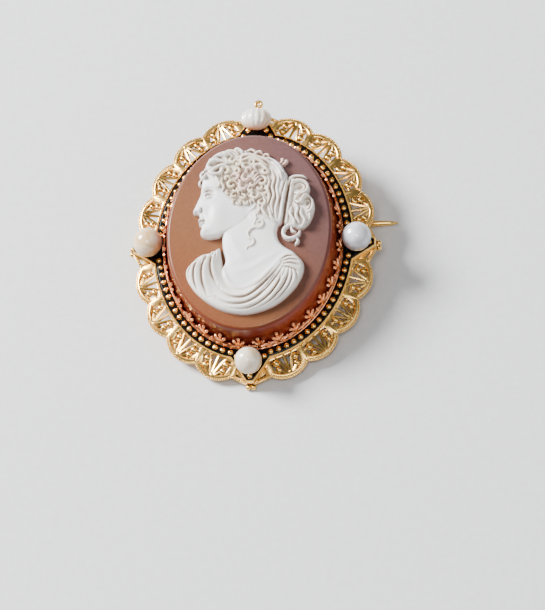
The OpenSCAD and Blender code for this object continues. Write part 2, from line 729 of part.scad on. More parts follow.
// The pin with its middle knuckle
module pin_stem() {
    wall_mid = (hole_r + knuckle_r) / 2;
    shaft = hinge_x + pin_tip_x - pin_point - wall_mid;
    rest()
    difference() {
        union() {
            across_y(-hinge_x, pin_y - knuckle_w / 2, knuckle_w, knuckle_r);
            translate([-hinge_x + wall_mid, pin_y, pin_level])
            rotate([0, 90, 0])
            cylinder(r = root_d / 2, h = root_long - wall_mid, $fn = 12);
            translate([-hinge_x + wall_mid, pin_y, pin_level])
            rotate([0, 90, 0])
            rotate_extrude($fn = round_n)
            polygon([[0, 0], [pin_r, 0], [pin_r, shaft], [pin_r * 0.68, shaft + pin_point * 0.72],
                [0.12, shaft + pin_point], [0, shaft + pin_point]]);
        }
        across_y(-hinge_x, pin_y - knuckle_w, 2 * knuckle_w, hole_r);
    }
}

color("#A5694F") cameo_ground();
color("#EDE8E2") cameo_relief();
color("#D9A06A") claw_collar();
color("#F0CF95") band_plate();
color("#15110F") enamel_band();
color("#EBC98A") border();
color("#F2E6D2") pearl_top();
color("#D5D3D6") pearl_right();
color("#EFE8DC") pearl_bottom();
color("#F3DDBA") pearl_left();
color("#DDB06C") back_frame();
color("#C99A58") hinge_rivet();
color("#E5BC7A") pin_stem();
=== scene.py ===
import bpy
import math
import numpy as np
from mathutils import Matrix, Vector


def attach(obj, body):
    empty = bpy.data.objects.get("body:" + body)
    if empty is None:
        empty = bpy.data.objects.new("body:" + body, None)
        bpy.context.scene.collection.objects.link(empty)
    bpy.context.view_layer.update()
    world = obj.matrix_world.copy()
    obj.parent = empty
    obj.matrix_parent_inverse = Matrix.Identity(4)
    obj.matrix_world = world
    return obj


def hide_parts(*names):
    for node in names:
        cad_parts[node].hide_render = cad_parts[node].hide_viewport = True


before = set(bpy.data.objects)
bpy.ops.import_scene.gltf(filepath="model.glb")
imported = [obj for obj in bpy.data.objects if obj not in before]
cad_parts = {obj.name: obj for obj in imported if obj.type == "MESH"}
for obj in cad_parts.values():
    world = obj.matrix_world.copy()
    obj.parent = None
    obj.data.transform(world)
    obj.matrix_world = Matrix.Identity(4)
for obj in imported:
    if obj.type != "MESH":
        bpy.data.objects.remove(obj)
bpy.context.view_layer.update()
mm = 0.001
print("frame loaded")

# sizes shared by the pieces, in millimetres, in the brooch's own frame: face up, pin along x
brooch = {
    "faceA": 13.1, "faceB": 16.6, "wallSpread": 0.9, "stoneLow": 1.3, "stoneTop": 7.0,
    "colletA": 14.03, "colletB": 17.53, "colletWall": 0.32, "colletTop": 2.5, "ledge": 1.2, "barTop": -0.38,
    "plateInA": 14.41, "plateInB": 17.91, "bandA": 16.11, "bandB": 19.61,
    "pointX": 19.51, "pointY": 23.21, "pointHalf": 33.0, "tipHalf": 0.6,
    "plateLow": 0.2, "plateTop": 0.75, "enamelTop": 1.18, "wireTop": 1.33, "wireW": 0.3,
    "notchA": 18.51, "notchB": 22.41, "flankSide": 3.0, "flankEnd": 3.1,
    "pinY": 5.4, "pinLevel": -4.3, "pinD": 1.1, "catchIn": 1.05, "catchT": 0.6,
    "endLevel": -0.5, "endBall": 0.45, "ballOut": 0.35, "pinPast": 3.0, "eyeR": 0.75, "eyeOut": 1.6,
    "gap": 0.03, "lipGap": 0.06,
}


def restPlace(b):
    # the brooch lies on its catch and on the end balls at the bottom, as the CAD model does
    lip = math.acos((b["pinD"] / 2 + b["lipGap"]) / b["catchIn"])
    out = b["catchIn"] + b["catchT"]
    lipY = b["pinY"] - out * math.cos(lip)
    lipZ = b["pinLevel"] - out * math.sin(lip)
    ballY = -(b["pointY"] + b["ballOut"])
    dy, dz = lipY - ballY, lipZ - b["endLevel"]
    tilt = math.asin(-b["endBall"] / math.hypot(dy, dz)) - math.atan2(dz, dy)
    low = lipY * math.sin(tilt) + lipZ * math.cos(tilt)
    midX = (b["pinPast"] - b["ballOut"] - b["endBall"]) / 2
    farEye = b["pointY"] + b["eyeOut"] + b["eyeR"]
    midY = (farEye * math.cos(tilt) - b["plateLow"] * math.sin(tilt)
            + ballY * math.cos(tilt) - b["endLevel"] * math.sin(tilt) - b["endBall"]) / 2
    return Matrix.Translation((-midX * mm, -midY * mm, -low * mm)) @ Matrix.Rotation(tilt, 4, "X")


restMatrix = restPlace(brooch)
workMatrix = restMatrix @ Matrix.Scale(mm, 4)  # pieces are modelled in millimetres, flat, and laid down last


# camera, as the photograph was taken: over the lower right edge, far off with a long lens
camera = {
    "distance": 600, "lens": 222, "tilt": 23.0, "turn": 20.63, "roll": 1.604,
    "aimRight": 2.81, "aimUp": -9.11,
}


def placeCamera(c):
    tilt, turn, roll = (math.radians(c[k]) for k in ("tilt", "turn", "roll"))
    toward = Vector((math.sin(turn) * math.sin(tilt), -math.cos(turn) * math.sin(tilt), math.cos(tilt)))
    up = Vector((0, 1, 0))
    up = (up - toward * up.dot(toward)).normalized()
    right = up.cross(toward)
    right, up = right * math.cos(roll) + up * math.sin(roll), up * math.cos(roll) - right * math.sin(roll)
    eye = toward * c["distance"] + right * c["aimRight"] + up * c["aimUp"]
    bpy.ops.object.camera_add()
    shot = bpy.context.object
    shot.name = "studioCamera"
    shot.data.lens = c["lens"]
    turned = Matrix((right, up, toward)).transposed()
    shot.matrix_world = Matrix.Translation(workMatrix @ eye) @ (restMatrix.to_3x3() @ turned).to_4x4()
    bpy.context.scene.camera = shot


placeCamera(camera)
print("camera placed")


# materials
black, white = (0, 0, 0, 1), (1, 1, 1, 1)


def linear(hexColour):
    parts = [int(hexColour[i:i + 2], 16) / 255 for i in (1, 3, 5)]
    return tuple(p / 12.92 if p <= 0.04045 else ((p + 0.055) / 1.055) ** 2.4 for p in parts) + (1.0,)


def addNode(tree, kind, settings=None, links=None):
    # settings: attributes, socket values and a ramp's stops; links: input socket -> (node, output)
    node = tree.nodes.new(kind)
    for key, value in (settings or {}).items():
        if key == "stops":
            elements = node.color_ramp.elements
            elements[0].position, elements[0].color = value[0]
            elements[1].position, elements[1].color = value[-1]
            for place, colour in value[1:-1]:
                elements.new(place).color = colour
        elif isinstance(key, str) and hasattr(node, key) and key not in node.inputs:
            setattr(node, key, value)
        else:
            node.inputs[key].default_value = value
    for key, (source, out) in (links or {}).items():
        tree.links.new(source.outputs[out], node.inputs[key])
    return node


def newMaterial(name):
    material = bpy.data.materials.new(name)
    material.use_nodes = True
    tree = material.node_tree
    tree.nodes.clear()
    return material, tree


def goldMaterial(name, bright, deep, rough, hollow):
    # 18 carat gold, cast and hand polished: colour painted bright on open edges and crowns, and painted dark
    #                                        brown as shade in hollows and between parts
    material, tree = newMaterial(name)
    place = addNode(tree, "ShaderNodeTexCoord")
    onPiece = {"Vector": (place, "Object")}
    drift = addNode(tree, "ShaderNodeTexNoise", {"Scale": 0.42 / mm, "Detail": 3.0}, onPiece)
    # painted shade: an occlusion mask blends the dark colour in where parts crowd together and shade falls
    shade = addNode(tree, "ShaderNodeAmbientOcclusion", {"samples": 8, "Distance": hollow * mm})
    paintedShade = addNode(tree, "ShaderNodeValToRGB", {"stops": [(0.12, black), (0.66, white)]},
                    {"Fac": (shade, "AO")})
    tone = addNode(tree, "ShaderNodeMix", {"data_type": "RGBA", 6: linear(deep), 7: linear(bright)},
                   {0: (paintedShade, "Color")})
    vary = addNode(tree, "ShaderNodeMapRange",
                   {"From Min": 0.3, "From Max": 0.7, "To Min": 0.94, "To Max": 1.05},
                   {"Value": (drift, "Fac")})
    warm = addNode(tree, "ShaderNodeHueSaturation", {"Saturation": 1.06},
                   {"Color": (tone, 2), "Value": (vary, 0)})
    dull = addNode(tree, "ShaderNodeMapRange",
                   {"From Min": 0.3, "From Max": 0.7, "To Min": rough * 0.75, "To Max": rough * 1.35},
                   {"Value": (drift, "Fac")})
    # hand polish leaves ripples about half a millimetre wide
    ripple = addNode(tree, "ShaderNodeTexNoise", {"Scale": 1 / (0.45 * mm), "Detail": 2.0}, onPiece)
    bump = addNode(tree, "ShaderNodeBump", {"Strength": 0.22, "Distance": 0.02 * mm},
                   {"Height": (ripple, "Fac")})
    metal = addNode(tree, "ShaderNodeBsdfPrincipled", {"Metallic": 1.0},
                    {"Base Color": (warm, "Color"), "Roughness": (dull, 0), "Normal": (bump, 0)})
    addNode(tree, "ShaderNodeOutputMaterial", None, {"Surface": (metal, 0)})
    return material


def agateGround(name):
    # polished brown agate: waxy gloss; painted light: colour painted warm and lighter on the left, mauve and
    # darker on the right, and a painted red glow on the thin wall
    material, tree = newMaterial(name)
    place = addNode(tree, "ShaderNodeTexCoord")
    onPiece = {"Vector": (place, "Object")}
    split = addNode(tree, "ShaderNodeSeparateXYZ", None, onPiece)
    drift = addNode(tree, "ShaderNodeTexNoise",
                    {"Scale": 0.095 / mm, "Detail": 4.0, "Roughness": 0.55}, onPiece)
    # painted light: the colour runs across and up the face, lighter and warmer on the lit left, darker and
    # mauve on the right; it also wanders like the bands in the stone
    lean = addNode(tree, "ShaderNodeMath", {"operation": "MULTIPLY_ADD", 1: 0.75},
                   {0: (split, "Y"), 2: (split, "X")})
    wander = addNode(tree, "ShaderNodeMath", {"operation": "MULTIPLY_ADD", 1: 12 * mm},
                     {0: (drift, "Fac"), 2: (lean, 0)})
    across = addNode(tree, "ShaderNodeMapRange", {"From Min": -13 * mm, "From Max": 19 * mm},
                     {"Value": (wander, 0)})
    face = addNode(tree, "ShaderNodeValToRGB",
                   {"stops": [(0.0, linear("#7C4A2F")), (0.25, linear("#7B4F33")), (0.5, linear("#6F4734")),
                              (0.78, linear("#6C4A43")), (1.0, linear("#674947"))]}, {"Fac": (across, 0)})
    # painted glow: the sloping wall below the bevel, picked by its slope, is painted cornelian red, standing
    # in for light passing through the stone
    up = addNode(tree, "ShaderNodeNewGeometry")
    facing = addNode(tree, "ShaderNodeSeparateXYZ", None, {"Vector": (up, "Normal")})
    wall = addNode(tree, "ShaderNodeMapRange", {"From Min": 0.45, "From Max": 0.85}, {"Value": (facing, "Z")})
    glow = addNode(tree, "ShaderNodeValToRGB",
                   {"stops": [(0.0, linear("#5C160A")), (0.5, linear("#7E2510")), (1.0, linear("#7E321A"))]},
                   {"Fac": (across, 0)})
    tone = addNode(tree, "ShaderNodeMix", {"data_type": "RGBA"},
                   {0: (wall, 0), 6: (glow, "Color"), 7: (face, "Color")})
    # faint cloudy grain of the stone
    cloud = addNode(tree, "ShaderNodeTexNoise", {"Scale": 1 / (0.5 * mm), "Detail": 3.0}, onPiece)
    grain = addNode(tree, "ShaderNodeMapRange",
                    {"From Min": 0.3, "From Max": 0.7, "To Min": 0.93, "To Max": 1.07},
                    {"Value": (cloud, "Fac")})
    shaded = addNode(tree, "ShaderNodeHueSaturation", None, {"Color": (tone, 2), "Value": (grain, 0)})
    rub = addNode(tree, "ShaderNodeTexNoise", {"Scale": 1 / (0.25 * mm), "Detail": 2.0}, onPiece)
    bump = addNode(tree, "ShaderNodeBump", {"Strength": 0.12, "Distance": 0.01 * mm},
                   {"Height": (rub, "Fac")})
    polished = addNode(tree, "ShaderNodeBsdfPrincipled",
                       {"Roughness": 0.22, "IOR": 1.5, "Specular IOR Level": 0.35, "Subsurface Weight": 0.15,
                        "Subsurface Radius": (1.0, 0.35, 0.18), "Subsurface Scale": 1.2 * mm},
                       {"Base Color": (shaded, "Color"), "Normal": (bump, 0)})
    addNode(tree, "ShaderNodeOutputMaterial", None, {"Surface": (polished, 0)})
    return material


def agateWhite(name):
    # carved white agate: satin and slightly see-through, bluish on flesh, creamy in the hair, pink where thin
    material, tree = newMaterial(name)
    place = addNode(tree, "ShaderNodeTexCoord")
    onPiece = {"Vector": (place, "Object")}
    tint = addNode(tree, "ShaderNodeAttribute", {"attribute_name": "carveTint"})
    parts = addNode(tree, "ShaderNodeSeparateColor", None, {"Color": (tint, "Color")})
    drift = addNode(tree, "ShaderNodeTexNoise", {"Scale": 0.26 / mm, "Detail": 3.0}, onPiece)
    cool = addNode(tree, "ShaderNodeValToRGB", {"stops": [(0.35, linear("#F1F1F3")),
                                                          (0.65, linear("#FAF7F4"))]},
                   {"Fac": (drift, "Fac")})
    cream = addNode(tree, "ShaderNodeMix", {"data_type": "RGBA", 7: linear("#F2E6C4")},
                    {0: (parts, "Red"), 6: (cool, "Color")})
    hair = addNode(tree, "ShaderNodeMix", {"data_type": "RGBA", 7: linear("#F2CFC2")},
                   {0: (parts, "Blue"), 6: (cream, 2)})
    # painted shade: an occlusion mask paints the cuts and hollows brownish grey, where shade falls; and brown
    # from below where the layer runs out
    shade = addNode(tree, "ShaderNodeAmbientOcclusion", {"samples": 8, "Distance": 0.7 * mm})
    deep = addNode(tree, "ShaderNodeValToRGB", {"stops": [(0.4, black), (0.93, white)]},
                   {"Fac": (shade, "AO")})
    hollow = addNode(tree, "ShaderNodeMix", {"data_type": "RGBA", 6: linear("#9F8573")},
                     {0: (deep, "Color"), 7: (hair, 2)})
    thin = addNode(tree, "ShaderNodeMix", {"data_type": "RGBA", 7: linear("#C79A88")},
                   {0: (parts, "Green"), 6: (hollow, 2)})
    tool = addNode(tree, "ShaderNodeTexNoise", {"Scale": 1 / (0.3 * mm), "Detail": 3.0}, onPiece)
    bump = addNode(tree, "ShaderNodeBump", {"Strength": 0.25, "Distance": 0.012 * mm},
                   {"Height": (tool, "Fac")})
    carved = addNode(tree, "ShaderNodeBsdfPrincipled",
                     {"Roughness": 0.4, "IOR": 1.54, "Subsurface Weight": 0.25,
                      "Subsurface Radius": (1.0, 0.8, 0.65), "Subsurface Scale": 0.35 * mm},
                     {"Base Color": (thin, 2), "Normal": (bump, 0)})
    addNode(tree, "ShaderNodeOutputMaterial", None, {"Surface": (carved, 0)})
    return material


def enamelBlack(name):
    # fired black enamel: deep and glossy, with a faint waviness
    material, tree = newMaterial(name)
    place = addNode(tree, "ShaderNodeTexCoord")
    wave = addNode(tree, "ShaderNodeTexNoise", {"Scale": 1 / (1.1 * mm), "Detail": 2.0},
                   {"Vector": (place, "Object")})
    tone = addNode(tree, "ShaderNodeValToRGB", {"stops": [(0.3, linear("#060505")),
                                                          (0.7, linear("#0E0B0A"))]},
                   {"Fac": (wave, "Fac")})
    bump = addNode(tree, "ShaderNodeBump", {"Strength": 0.25, "Distance": 0.03 * mm},
                   {"Height": (wave, "Fac")})
    glass = addNode(tree, "ShaderNodeBsdfPrincipled",
                    {"Roughness": 0.2, "IOR": 1.5, "Specular IOR Level": 0.15},
                    {"Base Color": (tone, "Color"), "Normal": (bump, 0)})
    addNode(tree, "ShaderNodeOutputMaterial", None, {"Surface": (glass, 0)})
    return material


def pearlMaterial(name, light, dark, sideShade, lean=None):
    # pearl: nacre lustre over a soft body, with slow colour clouds; painted shade makes its colour darker
    # down its sides and underside
    material, tree = newMaterial(name)
    place = addNode(tree, "ShaderNodeTexCoord")
    onPiece = {"Vector": (place, "Object")}
    cloud = addNode(tree, "ShaderNodeTexNoise",
                    {"Scale": 0.33 / mm, "Detail": 3.0, "Distortion": 0.6}, onPiece)
    body = addNode(tree, "ShaderNodeValToRGB", {"stops": [(0.32, linear(dark)), (0.62, linear(light))]},
                   {"Fac": (cloud, "Fac")})
    # painted shade: the colour turns towards the side shade colour as the surface faces away from above
    up = addNode(tree, "ShaderNodeNewGeometry")
    facing = addNode(tree, "ShaderNodeSeparateXYZ", None, {"Vector": (up, "Normal")})
    edge = addNode(tree, "ShaderNodeMapRange", {"From Min": 0.75, "From Max": -0.35, "To Max": 0.85},
                   {"Value": (facing, "Z")})
    tone = addNode(tree, "ShaderNodeMix", {"data_type": "RGBA", 7: linear(sideShade)},
                   {0: (edge, 0), 6: (body, "Color")})
    if lean:
        # the colour turns darker from one side of the pearl to the other, towards +x
        split = addNode(tree, "ShaderNodeSeparateXYZ", None, onPiece)
        side = addNode(tree, "ShaderNodeMapRange",
                       {"From Min": lean[0] * mm, "From Max": lean[1] * mm, "To Max": 0.8},
                       {"Value": (split, "X")})
        tone = addNode(tree, "ShaderNodeMix", {"data_type": "RGBA", 7: linear(dark)},
                       {0: (side, 0), 6: (tone, 2)})
    skin = addNode(tree, "ShaderNodeTexNoise", {"Scale": 1 / (0.5 * mm), "Detail": 2.0}, onPiece)
    bump = addNode(tree, "ShaderNodeBump", {"Strength": 0.1, "Distance": 0.02 * mm},
                   {"Height": (skin, "Fac")})
    nacre = addNode(tree, "ShaderNodeBsdfPrincipled",
                    {"Roughness": 0.26, "IOR": 1.62, "Coat Weight": 0.9, "Coat Roughness": 0.06,
                     "Subsurface Weight": 0.2, "Subsurface Radius": (1.0, 0.85, 0.7),
                     "Subsurface Scale": 0.6 * mm, "Sheen Weight": 0.15},
                    {"Base Color": (tone, 2), "Normal": (bump, 0)})
    addNode(tree, "ShaderNodeOutputMaterial", None, {"Surface": (nacre, 0)})
    return material


def floorMaterial(name):
    # matt pale paper
    material, tree = newMaterial(name)
    place = addNode(tree, "ShaderNodeTexCoord")
    fibre = addNode(tree, "ShaderNodeTexNoise", {"Scale": 0.9 / mm, "Detail": 3.0},
                    {"Vector": (place, "Object")})
    tone = addNode(tree, "ShaderNodeValToRGB", {"stops": [(0.3, linear("#D9DADC")),
                                                          (0.7, linear("#E0E1E2"))]},
                   {"Fac": (fibre, "Fac")})
    paper = addNode(tree, "ShaderNodeBsdfPrincipled", {"Roughness": 0.8}, {"Base Color": (tone, "Color")})
    addNode(tree, "ShaderNodeOutputMaterial", None, {"Surface": (paper, 0)})
    return material


# the second colour of each gold is the painted shade that fills its hollows
goldBright = goldMaterial("goldBrightPolished", "#FFD080", "#4A2408", 0.22, 0.5)
goldRose = goldMaterial("goldRosePolished", "#FFB68C", "#4E1C0E", 0.22, 0.5)
agateBrown = agateGround("agateBrownPolished")
agatePale = agateWhite("agateWhiteCarved")
enamel = enamelBlack("enamelBlackFired")
# each pearl's third colour is the painted shade down its sides
pearlCream = pearlMaterial("pearlCream", "#FFEBC8", "#DCA965", "#A06A34")
pearlGrey = pearlMaterial("pearlGrey", "#ECECF1", "#92939D", "#7C7478")
pearlWhite = pearlMaterial("pearlWhite", "#FBF2E0", "#D2B078", "#977449")
pearlButton = pearlMaterial("pearlButton", "#FBF6EA", "#D6A96C", "#B08C60", (-0.6, 1.9))
print("materials ready")


# helpers for modelling
weld = 0.0005  # points this close, in millimetres, become one


def pickNone():
    if bpy.context.object and bpy.context.object.mode != "OBJECT":
        bpy.ops.object.mode_set(mode="OBJECT")
    bpy.ops.object.select_all(action="DESELECT")


def pickOnly(obj):
    pickNone()
    obj.select_set(True)
    bpy.context.view_layer.objects.active = obj


def editAll(obj):
    pickOnly(obj)
    bpy.ops.object.mode_set(mode="EDIT")
    bpy.ops.mesh.select_mode(type="VERT")
    bpy.ops.mesh.select_all(action="SELECT")


def endEdit():
    bpy.ops.object.mode_set(mode="OBJECT")


def closeUp(obj):
    # welds doubles and turns every face outwards
    editAll(obj)
    bpy.ops.mesh.remove_doubles(threshold=weld)
    bpy.ops.mesh.normals_make_consistent(inside=False)
    endEdit()


def softenEdges(obj, width, segments=2, angle=50):
    # bevels the edges that are sharper than the angle
    pickOnly(obj)
    bpy.ops.object.modifier_add(type="BEVEL")
    bevel = obj.modifiers[-1]
    bevel.width, bevel.segments = width, segments
    bevel.limit_method, bevel.angle_limit = "ANGLE", math.radians(angle)
    bpy.ops.object.modifier_apply(modifier=bevel.name)


def smooth(obj, angle=40):
    pickOnly(obj)
    bpy.ops.object.shade_smooth_by_angle(angle=math.radians(angle))


def applyPlace():
    bpy.ops.object.transform_apply(location=True, rotation=True, scale=True)


def ball(radius, at, segments, rings, shape=(1, 1, 1)):
    # a ball, flattened or stretched where asked
    pickNone()
    bpy.ops.mesh.primitive_uv_sphere_add(segments=segments, ring_count=rings, radius=radius, location=at,
                                         scale=shape)
    made = bpy.context.object
    applyPlace()
    return made


def ringStack(name, rings, cap=False):
    # an outline extruded ring by ring: each new point goes to its place on the next outline
    pickNone()
    first = np.array(rings[0], float)
    bpy.ops.mesh.primitive_circle_add(vertices=len(first), radius=1, fill_type="NGON" if cap else "NOTHING")
    obj = bpy.context.object
    obj.name = name
    obj.data.vertices.foreach_set("co", first.astype(np.float32).ravel())
    before = first
    path = rings[1:] if cap else rings[1:] + [rings[0]]
    for ring in path:
        after = np.array(ring, float)
        bpy.ops.object.mode_set(mode="EDIT")
        bpy.ops.mesh.select_mode(type="VERT")
        if cap and ring is path[0]:
            bpy.ops.mesh.select_all(action="SELECT")
        bpy.ops.mesh.extrude_region_move()
        endEdit()
        for point in obj.data.vertices:
            if point.select:
                near = np.argmin(((before - np.array(point.co)) ** 2).sum(1))
                point.co = after[near]
        before = after
    obj.data.update()
    closeUp(obj)
    return obj


def copies(first, places, name):
    # the modelled piece copied to each place, each copy with its own mesh, then joined
    made = []
    for place in places:
        twin = first.copy()
        twin.data = first.data.copy()
        bpy.context.collection.objects.link(twin)
        twin.data.transform(place)
        if place.determinant() < 0:
            twin.data.flip_normals()
        made.append(twin)
    bpy.data.objects.remove(first)
    return joinAll(made, name)


def joinAll(parts, name):
    pickNone()
    for part in parts:
        part.select_set(True)
    bpy.context.view_layer.objects.active = parts[0]
    if len(parts) > 1:
        bpy.ops.object.join()
    parts[0].name = name
    return parts[0]


def wires(name, lines, thick, sides=3, closed=False):
    # round wires along lines of (x, y, z) or (x, y, z, share of the thickness)
    pickNone()
    curve = bpy.data.curves.new(name, "CURVE")
    curve.dimensions = "3D"
    curve.bevel_depth = thick
    curve.bevel_resolution = sides
    curve.use_fill_caps = True
    for line in lines:
        spline = curve.splines.new("POLY")
        spline.points.add(len(line) - 1)
        spline.use_cyclic_u = closed
        for point, at in zip(spline.points, line):
            point.co = (at[0], at[1], at[2], 1)
            point.radius = at[3] if len(at) > 3 else 1
    obj = bpy.data.objects.new(name, curve)
    bpy.context.collection.objects.link(obj)
    pickOnly(obj)
    bpy.ops.object.convert(target="MESH")
    obj = bpy.context.object
    closeUp(obj)
    return obj


def layDown(obj):
    pickOnly(obj)
    obj.data.transform(workMatrix)
    obj.data.update()


def finishPiece(obj, body, slotName, material, *nodes):
    layDown(obj)
    obj.data.materials.clear()
    obj.data.materials.append(material)
    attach(obj, body)
    if nodes:
        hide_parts(*nodes)
    print(obj.name, len(obj.data.polygons), "faces")


def smoothLine(points, perSpan=8, closed=False):
    # an even curve through given points
    p = [np.array(q, float) for q in points]
    n = len(p)
    out = []
    for i in range(n if closed else n - 1):
        a, b = p[i], p[(i + 1) % n]
        before = p[i - 1] if closed or i > 0 else 2 * a - b
        after = p[(i + 2) % n] if closed or i + 2 < n else 2 * b - a
        for k in range(perSpan):
            t = k / perSpan
            out.append(0.5 * (2 * a + (b - before) * t + (2 * before - 5 * a + 4 * b - after) * t * t
                              + (3 * a - before - 3 * b + after) * t ** 3))
    if not closed:
        out.append(p[-1])
    return np.array(out)


def evenSteps(points, step):
    # places at an even distance along a line
    line = [np.array(p, float) for p in points]
    runs = [0.0]
    for a, b in zip(line, line[1:]):
        runs.append(runs[-1] + float(np.linalg.norm(b - a)))
    count = max(int(round(runs[-1] / step)), 1)
    spots = []
    for k in range(count + 1):
        at = runs[-1] * k / count
        i = min(max(int(np.searchsorted(runs, at, "right")) - 1, 0), len(line) - 2)
        share = (at - runs[i]) / max(runs[i + 1] - runs[i], 1e-9)
        spots.append(line[i] + (line[i + 1] - line[i]) * share)
    return spots


# the band's outline: an oval with a V point on each side
def ovalPoint(a, b, t):
    return np.array((a * math.cos(t), b * math.sin(t)))


def ovalNormal(a, b, t):
    n = np.array((math.cos(t) / a, math.sin(t) / b))
    return n / np.linalg.norm(n)


def pointHit(x, a, b, h):
    # distance along a V line from its tip to the oval
    qa = (math.cos(h) / a) ** 2 + (math.sin(h) / b) ** 2
    qb = -2 * x * math.cos(h) / (a * a)
    return (-qb - math.sqrt(qb * qb - 4 * qa * (x * x / (a * a) - 1))) / (2 * qa)


def quarterLine(b, d, n=18, m=4):
    # first quarter of the outline, d inside the edge: (x, y, turn on the oval)
    h = math.radians(b["pointHalf"])
    a1, b1 = b["bandA"] - d, b["bandB"] - d
    back = b["tipHalf"] / math.tan(h) - d / math.sin(h)
    half = b["tipHalf"] - d * (1 - math.sin(h)) / math.cos(h)
    sideX, endY = b["pointX"] + back, b["pointY"] + back
    s = pointHit(sideX, a1, b1, h)
    side = np.array((sideX - s * math.cos(h), s * math.sin(h)))
    s = pointHit(endY, b1, a1, h)
    end = np.array((s * math.sin(h), endY - s * math.cos(h)))
    t0 = math.atan2(side[1] / b1, side[0] / a1)
    t1 = math.atan2(end[1] / b1, end[0] / a1)
    sideTip, endTip = np.array((b["pointX"] - d, half)), np.array((half, b["pointY"] - d))
    rows = [(b["pointX"] - d, 0.0, 0.0)]
    for i in range(m):
        p = sideTip + (side - sideTip) * i / m
        rows.append((p[0], p[1], t0 * (i + 1) / (m + 1)))
    for i in range(n + 1):
        t = t0 + (t1 - t0) * i / n
        p = ovalPoint(a1, b1, t)
        rows.append((p[0], p[1], t))
    for i in range(1, m + 1):
        p = end + (endTip - end) * i / m
        rows.append((p[0], p[1], t1 + (math.pi / 2 - t1) * i / (m + 1)))
    return rows + [(0.0, b["pointY"] - d, math.pi / 2)]


def wholeLine(quarter):
    # the quarter mirrored into the whole outline
    q = quarter
    rows = [(x, y, t) for x, y, t in q[:-1]]
    rows += [(-x, y, math.pi - t) for x, y, t in q[:0:-1]]
    rows += [(-x, -y, math.pi + t) for x, y, t in q[:-1]]
    rows += [(x, -y, -t) for x, y, t in q[:0:-1]]
    return rows


def bandRing(b, d, z):
    return [(row[0], row[1], z) for row in wholeLine(quarterLine(b, d))]


def innerRing(b, a1, b1, z):
    # the same number of points, on an oval inside the band
    turns = [row[2] for row in wholeLine(quarterLine(b, 0))]
    return [(a1 * math.cos(t), b1 * math.sin(t), z) for t in turns]


def ovalRing(a1, b1, z, n):
    return [(a1 * math.cos(i * 2 * math.pi / n), b1 * math.sin(i * 2 * math.pi / n), z) for i in range(n)]


def ovalFrame(a1, b1, t):
    # a place on an oval, with x outwards
    p, n = ovalPoint(a1, b1, t), ovalNormal(a1, b1, t)
    return Matrix.Translation((p[0], p[1], 0)) @ Matrix.Rotation(math.atan2(n[1], n[0]), 4, "Z")


def runsAlong(spots):
    # how far along a line each of its points is
    return np.concatenate([[0], np.cumsum([np.linalg.norm(q - p) for p, q in zip(spots, spots[1:])])])


def arcTurns(a, b, count, offset=0.5):
    # turns that are evenly spaced along an oval
    fine = np.arange(1441) * 2 * math.pi / 1440
    runs = runsAlong([ovalPoint(a, b, t) for t in fine])
    return [float(np.interp((i + offset) * runs[-1] / count, runs, fine)) for i in range(count)]


# the stone: oval block with a sloping wall, a narrow bevel and a flat face
stone = {"sides": 144, "bevel": 0.35, "softEdge": 0.07}


def makeStone(b, s):
    spread = b["wallSpread"] * s["bevel"] / (b["stoneTop"] - b["stoneLow"])
    levels = [(b["wallSpread"], b["stoneLow"]), (spread, b["stoneTop"] - s["bevel"]),
              (-s["bevel"], b["stoneTop"])]
    rings = [ovalRing(b["faceA"] + out, b["faceB"] + out, z, s["sides"]) for out, z in levels]
    obj = ringStack("agateBlock", rings, cap=True)
    softenEdges(obj, s["softEdge"], 2, 20)
    smooth(obj, 30)
    finishPiece(obj, "brooch", "agate_brown", agateBrown, "cameo_ground")


makeStone(brooch, stone)
print("stone done")

# the collet: a low gold wall with a ledge under the stone, two wires, trefoil claws with buds between
collar = {
    "sides": 144, "claws": 32, "clawTop": 4.62, "tipBall": 0.3, "petal": 0.68, "stem": 0.3, "sink": 0.2,
    "bud": 0.34, "wire": 0.15, "upperWire": 0.12, "chamfer": 0.08,
}


def makeClaw(b, c):
    # one claw, standing at the origin with the stone towards -x: a stem and a petal on each side
    lean = (c["tipBall"]
            - b["wallSpread"] * (c["clawTop"] - b["stoneLow"]) / (b["stoneTop"] - b["stoneLow"]))
    foot, low = b["colletWall"] / 2, b["colletTop"] - c["sink"]
    p, top = c["petal"], c["clawTop"]
    stem = [(foot, 0, low, 1.3), (foot - 0.03, 0, low + 0.7, 1.0), (lean * 0.6 + 0.12, 0, low + 1.3, 0.85),
            (lean + 0.02, 0, top - 0.42, 1.0), (lean, 0, top - 0.2, 0.95), (lean, 0, top, 0.35)]
    lines = [smoothLine(stem, 4)]
    for side in (-1, 1):
        petal = [(foot, 0, low + 0.25, 0.9), (foot - 0.02, side * p * 0.4, low + 0.75, 0.95),
                 (lean * 0.5 + 0.2, side * p * 0.85, low + 1.25, 0.9),
                 (lean * 0.7 + 0.2, side * (p + 0.06), low + 1.55, 1.0),
                 (lean * 0.8 + 0.2, side * (p + 0.12), low + 1.75, 0.5)]
        lines.append(smoothLine(petal, 4))
    return wires("claw", lines, c["stem"], 2)


def makeBud(b, c):
    # a small bud, pointed at its top
    top = b["colletTop"]
    bud = ball(c["bud"], (b["colletWall"] / 2 - 0.02, 0, top + 0.12), 12, 8, (0.62, 0.9, 1.35))
    for point in bud.data.vertices:
        up = max(point.co.z - top, 0) / 0.6
        point.co.y *= 1 - 0.75 * min(up, 1) ** 1.5
    return bud


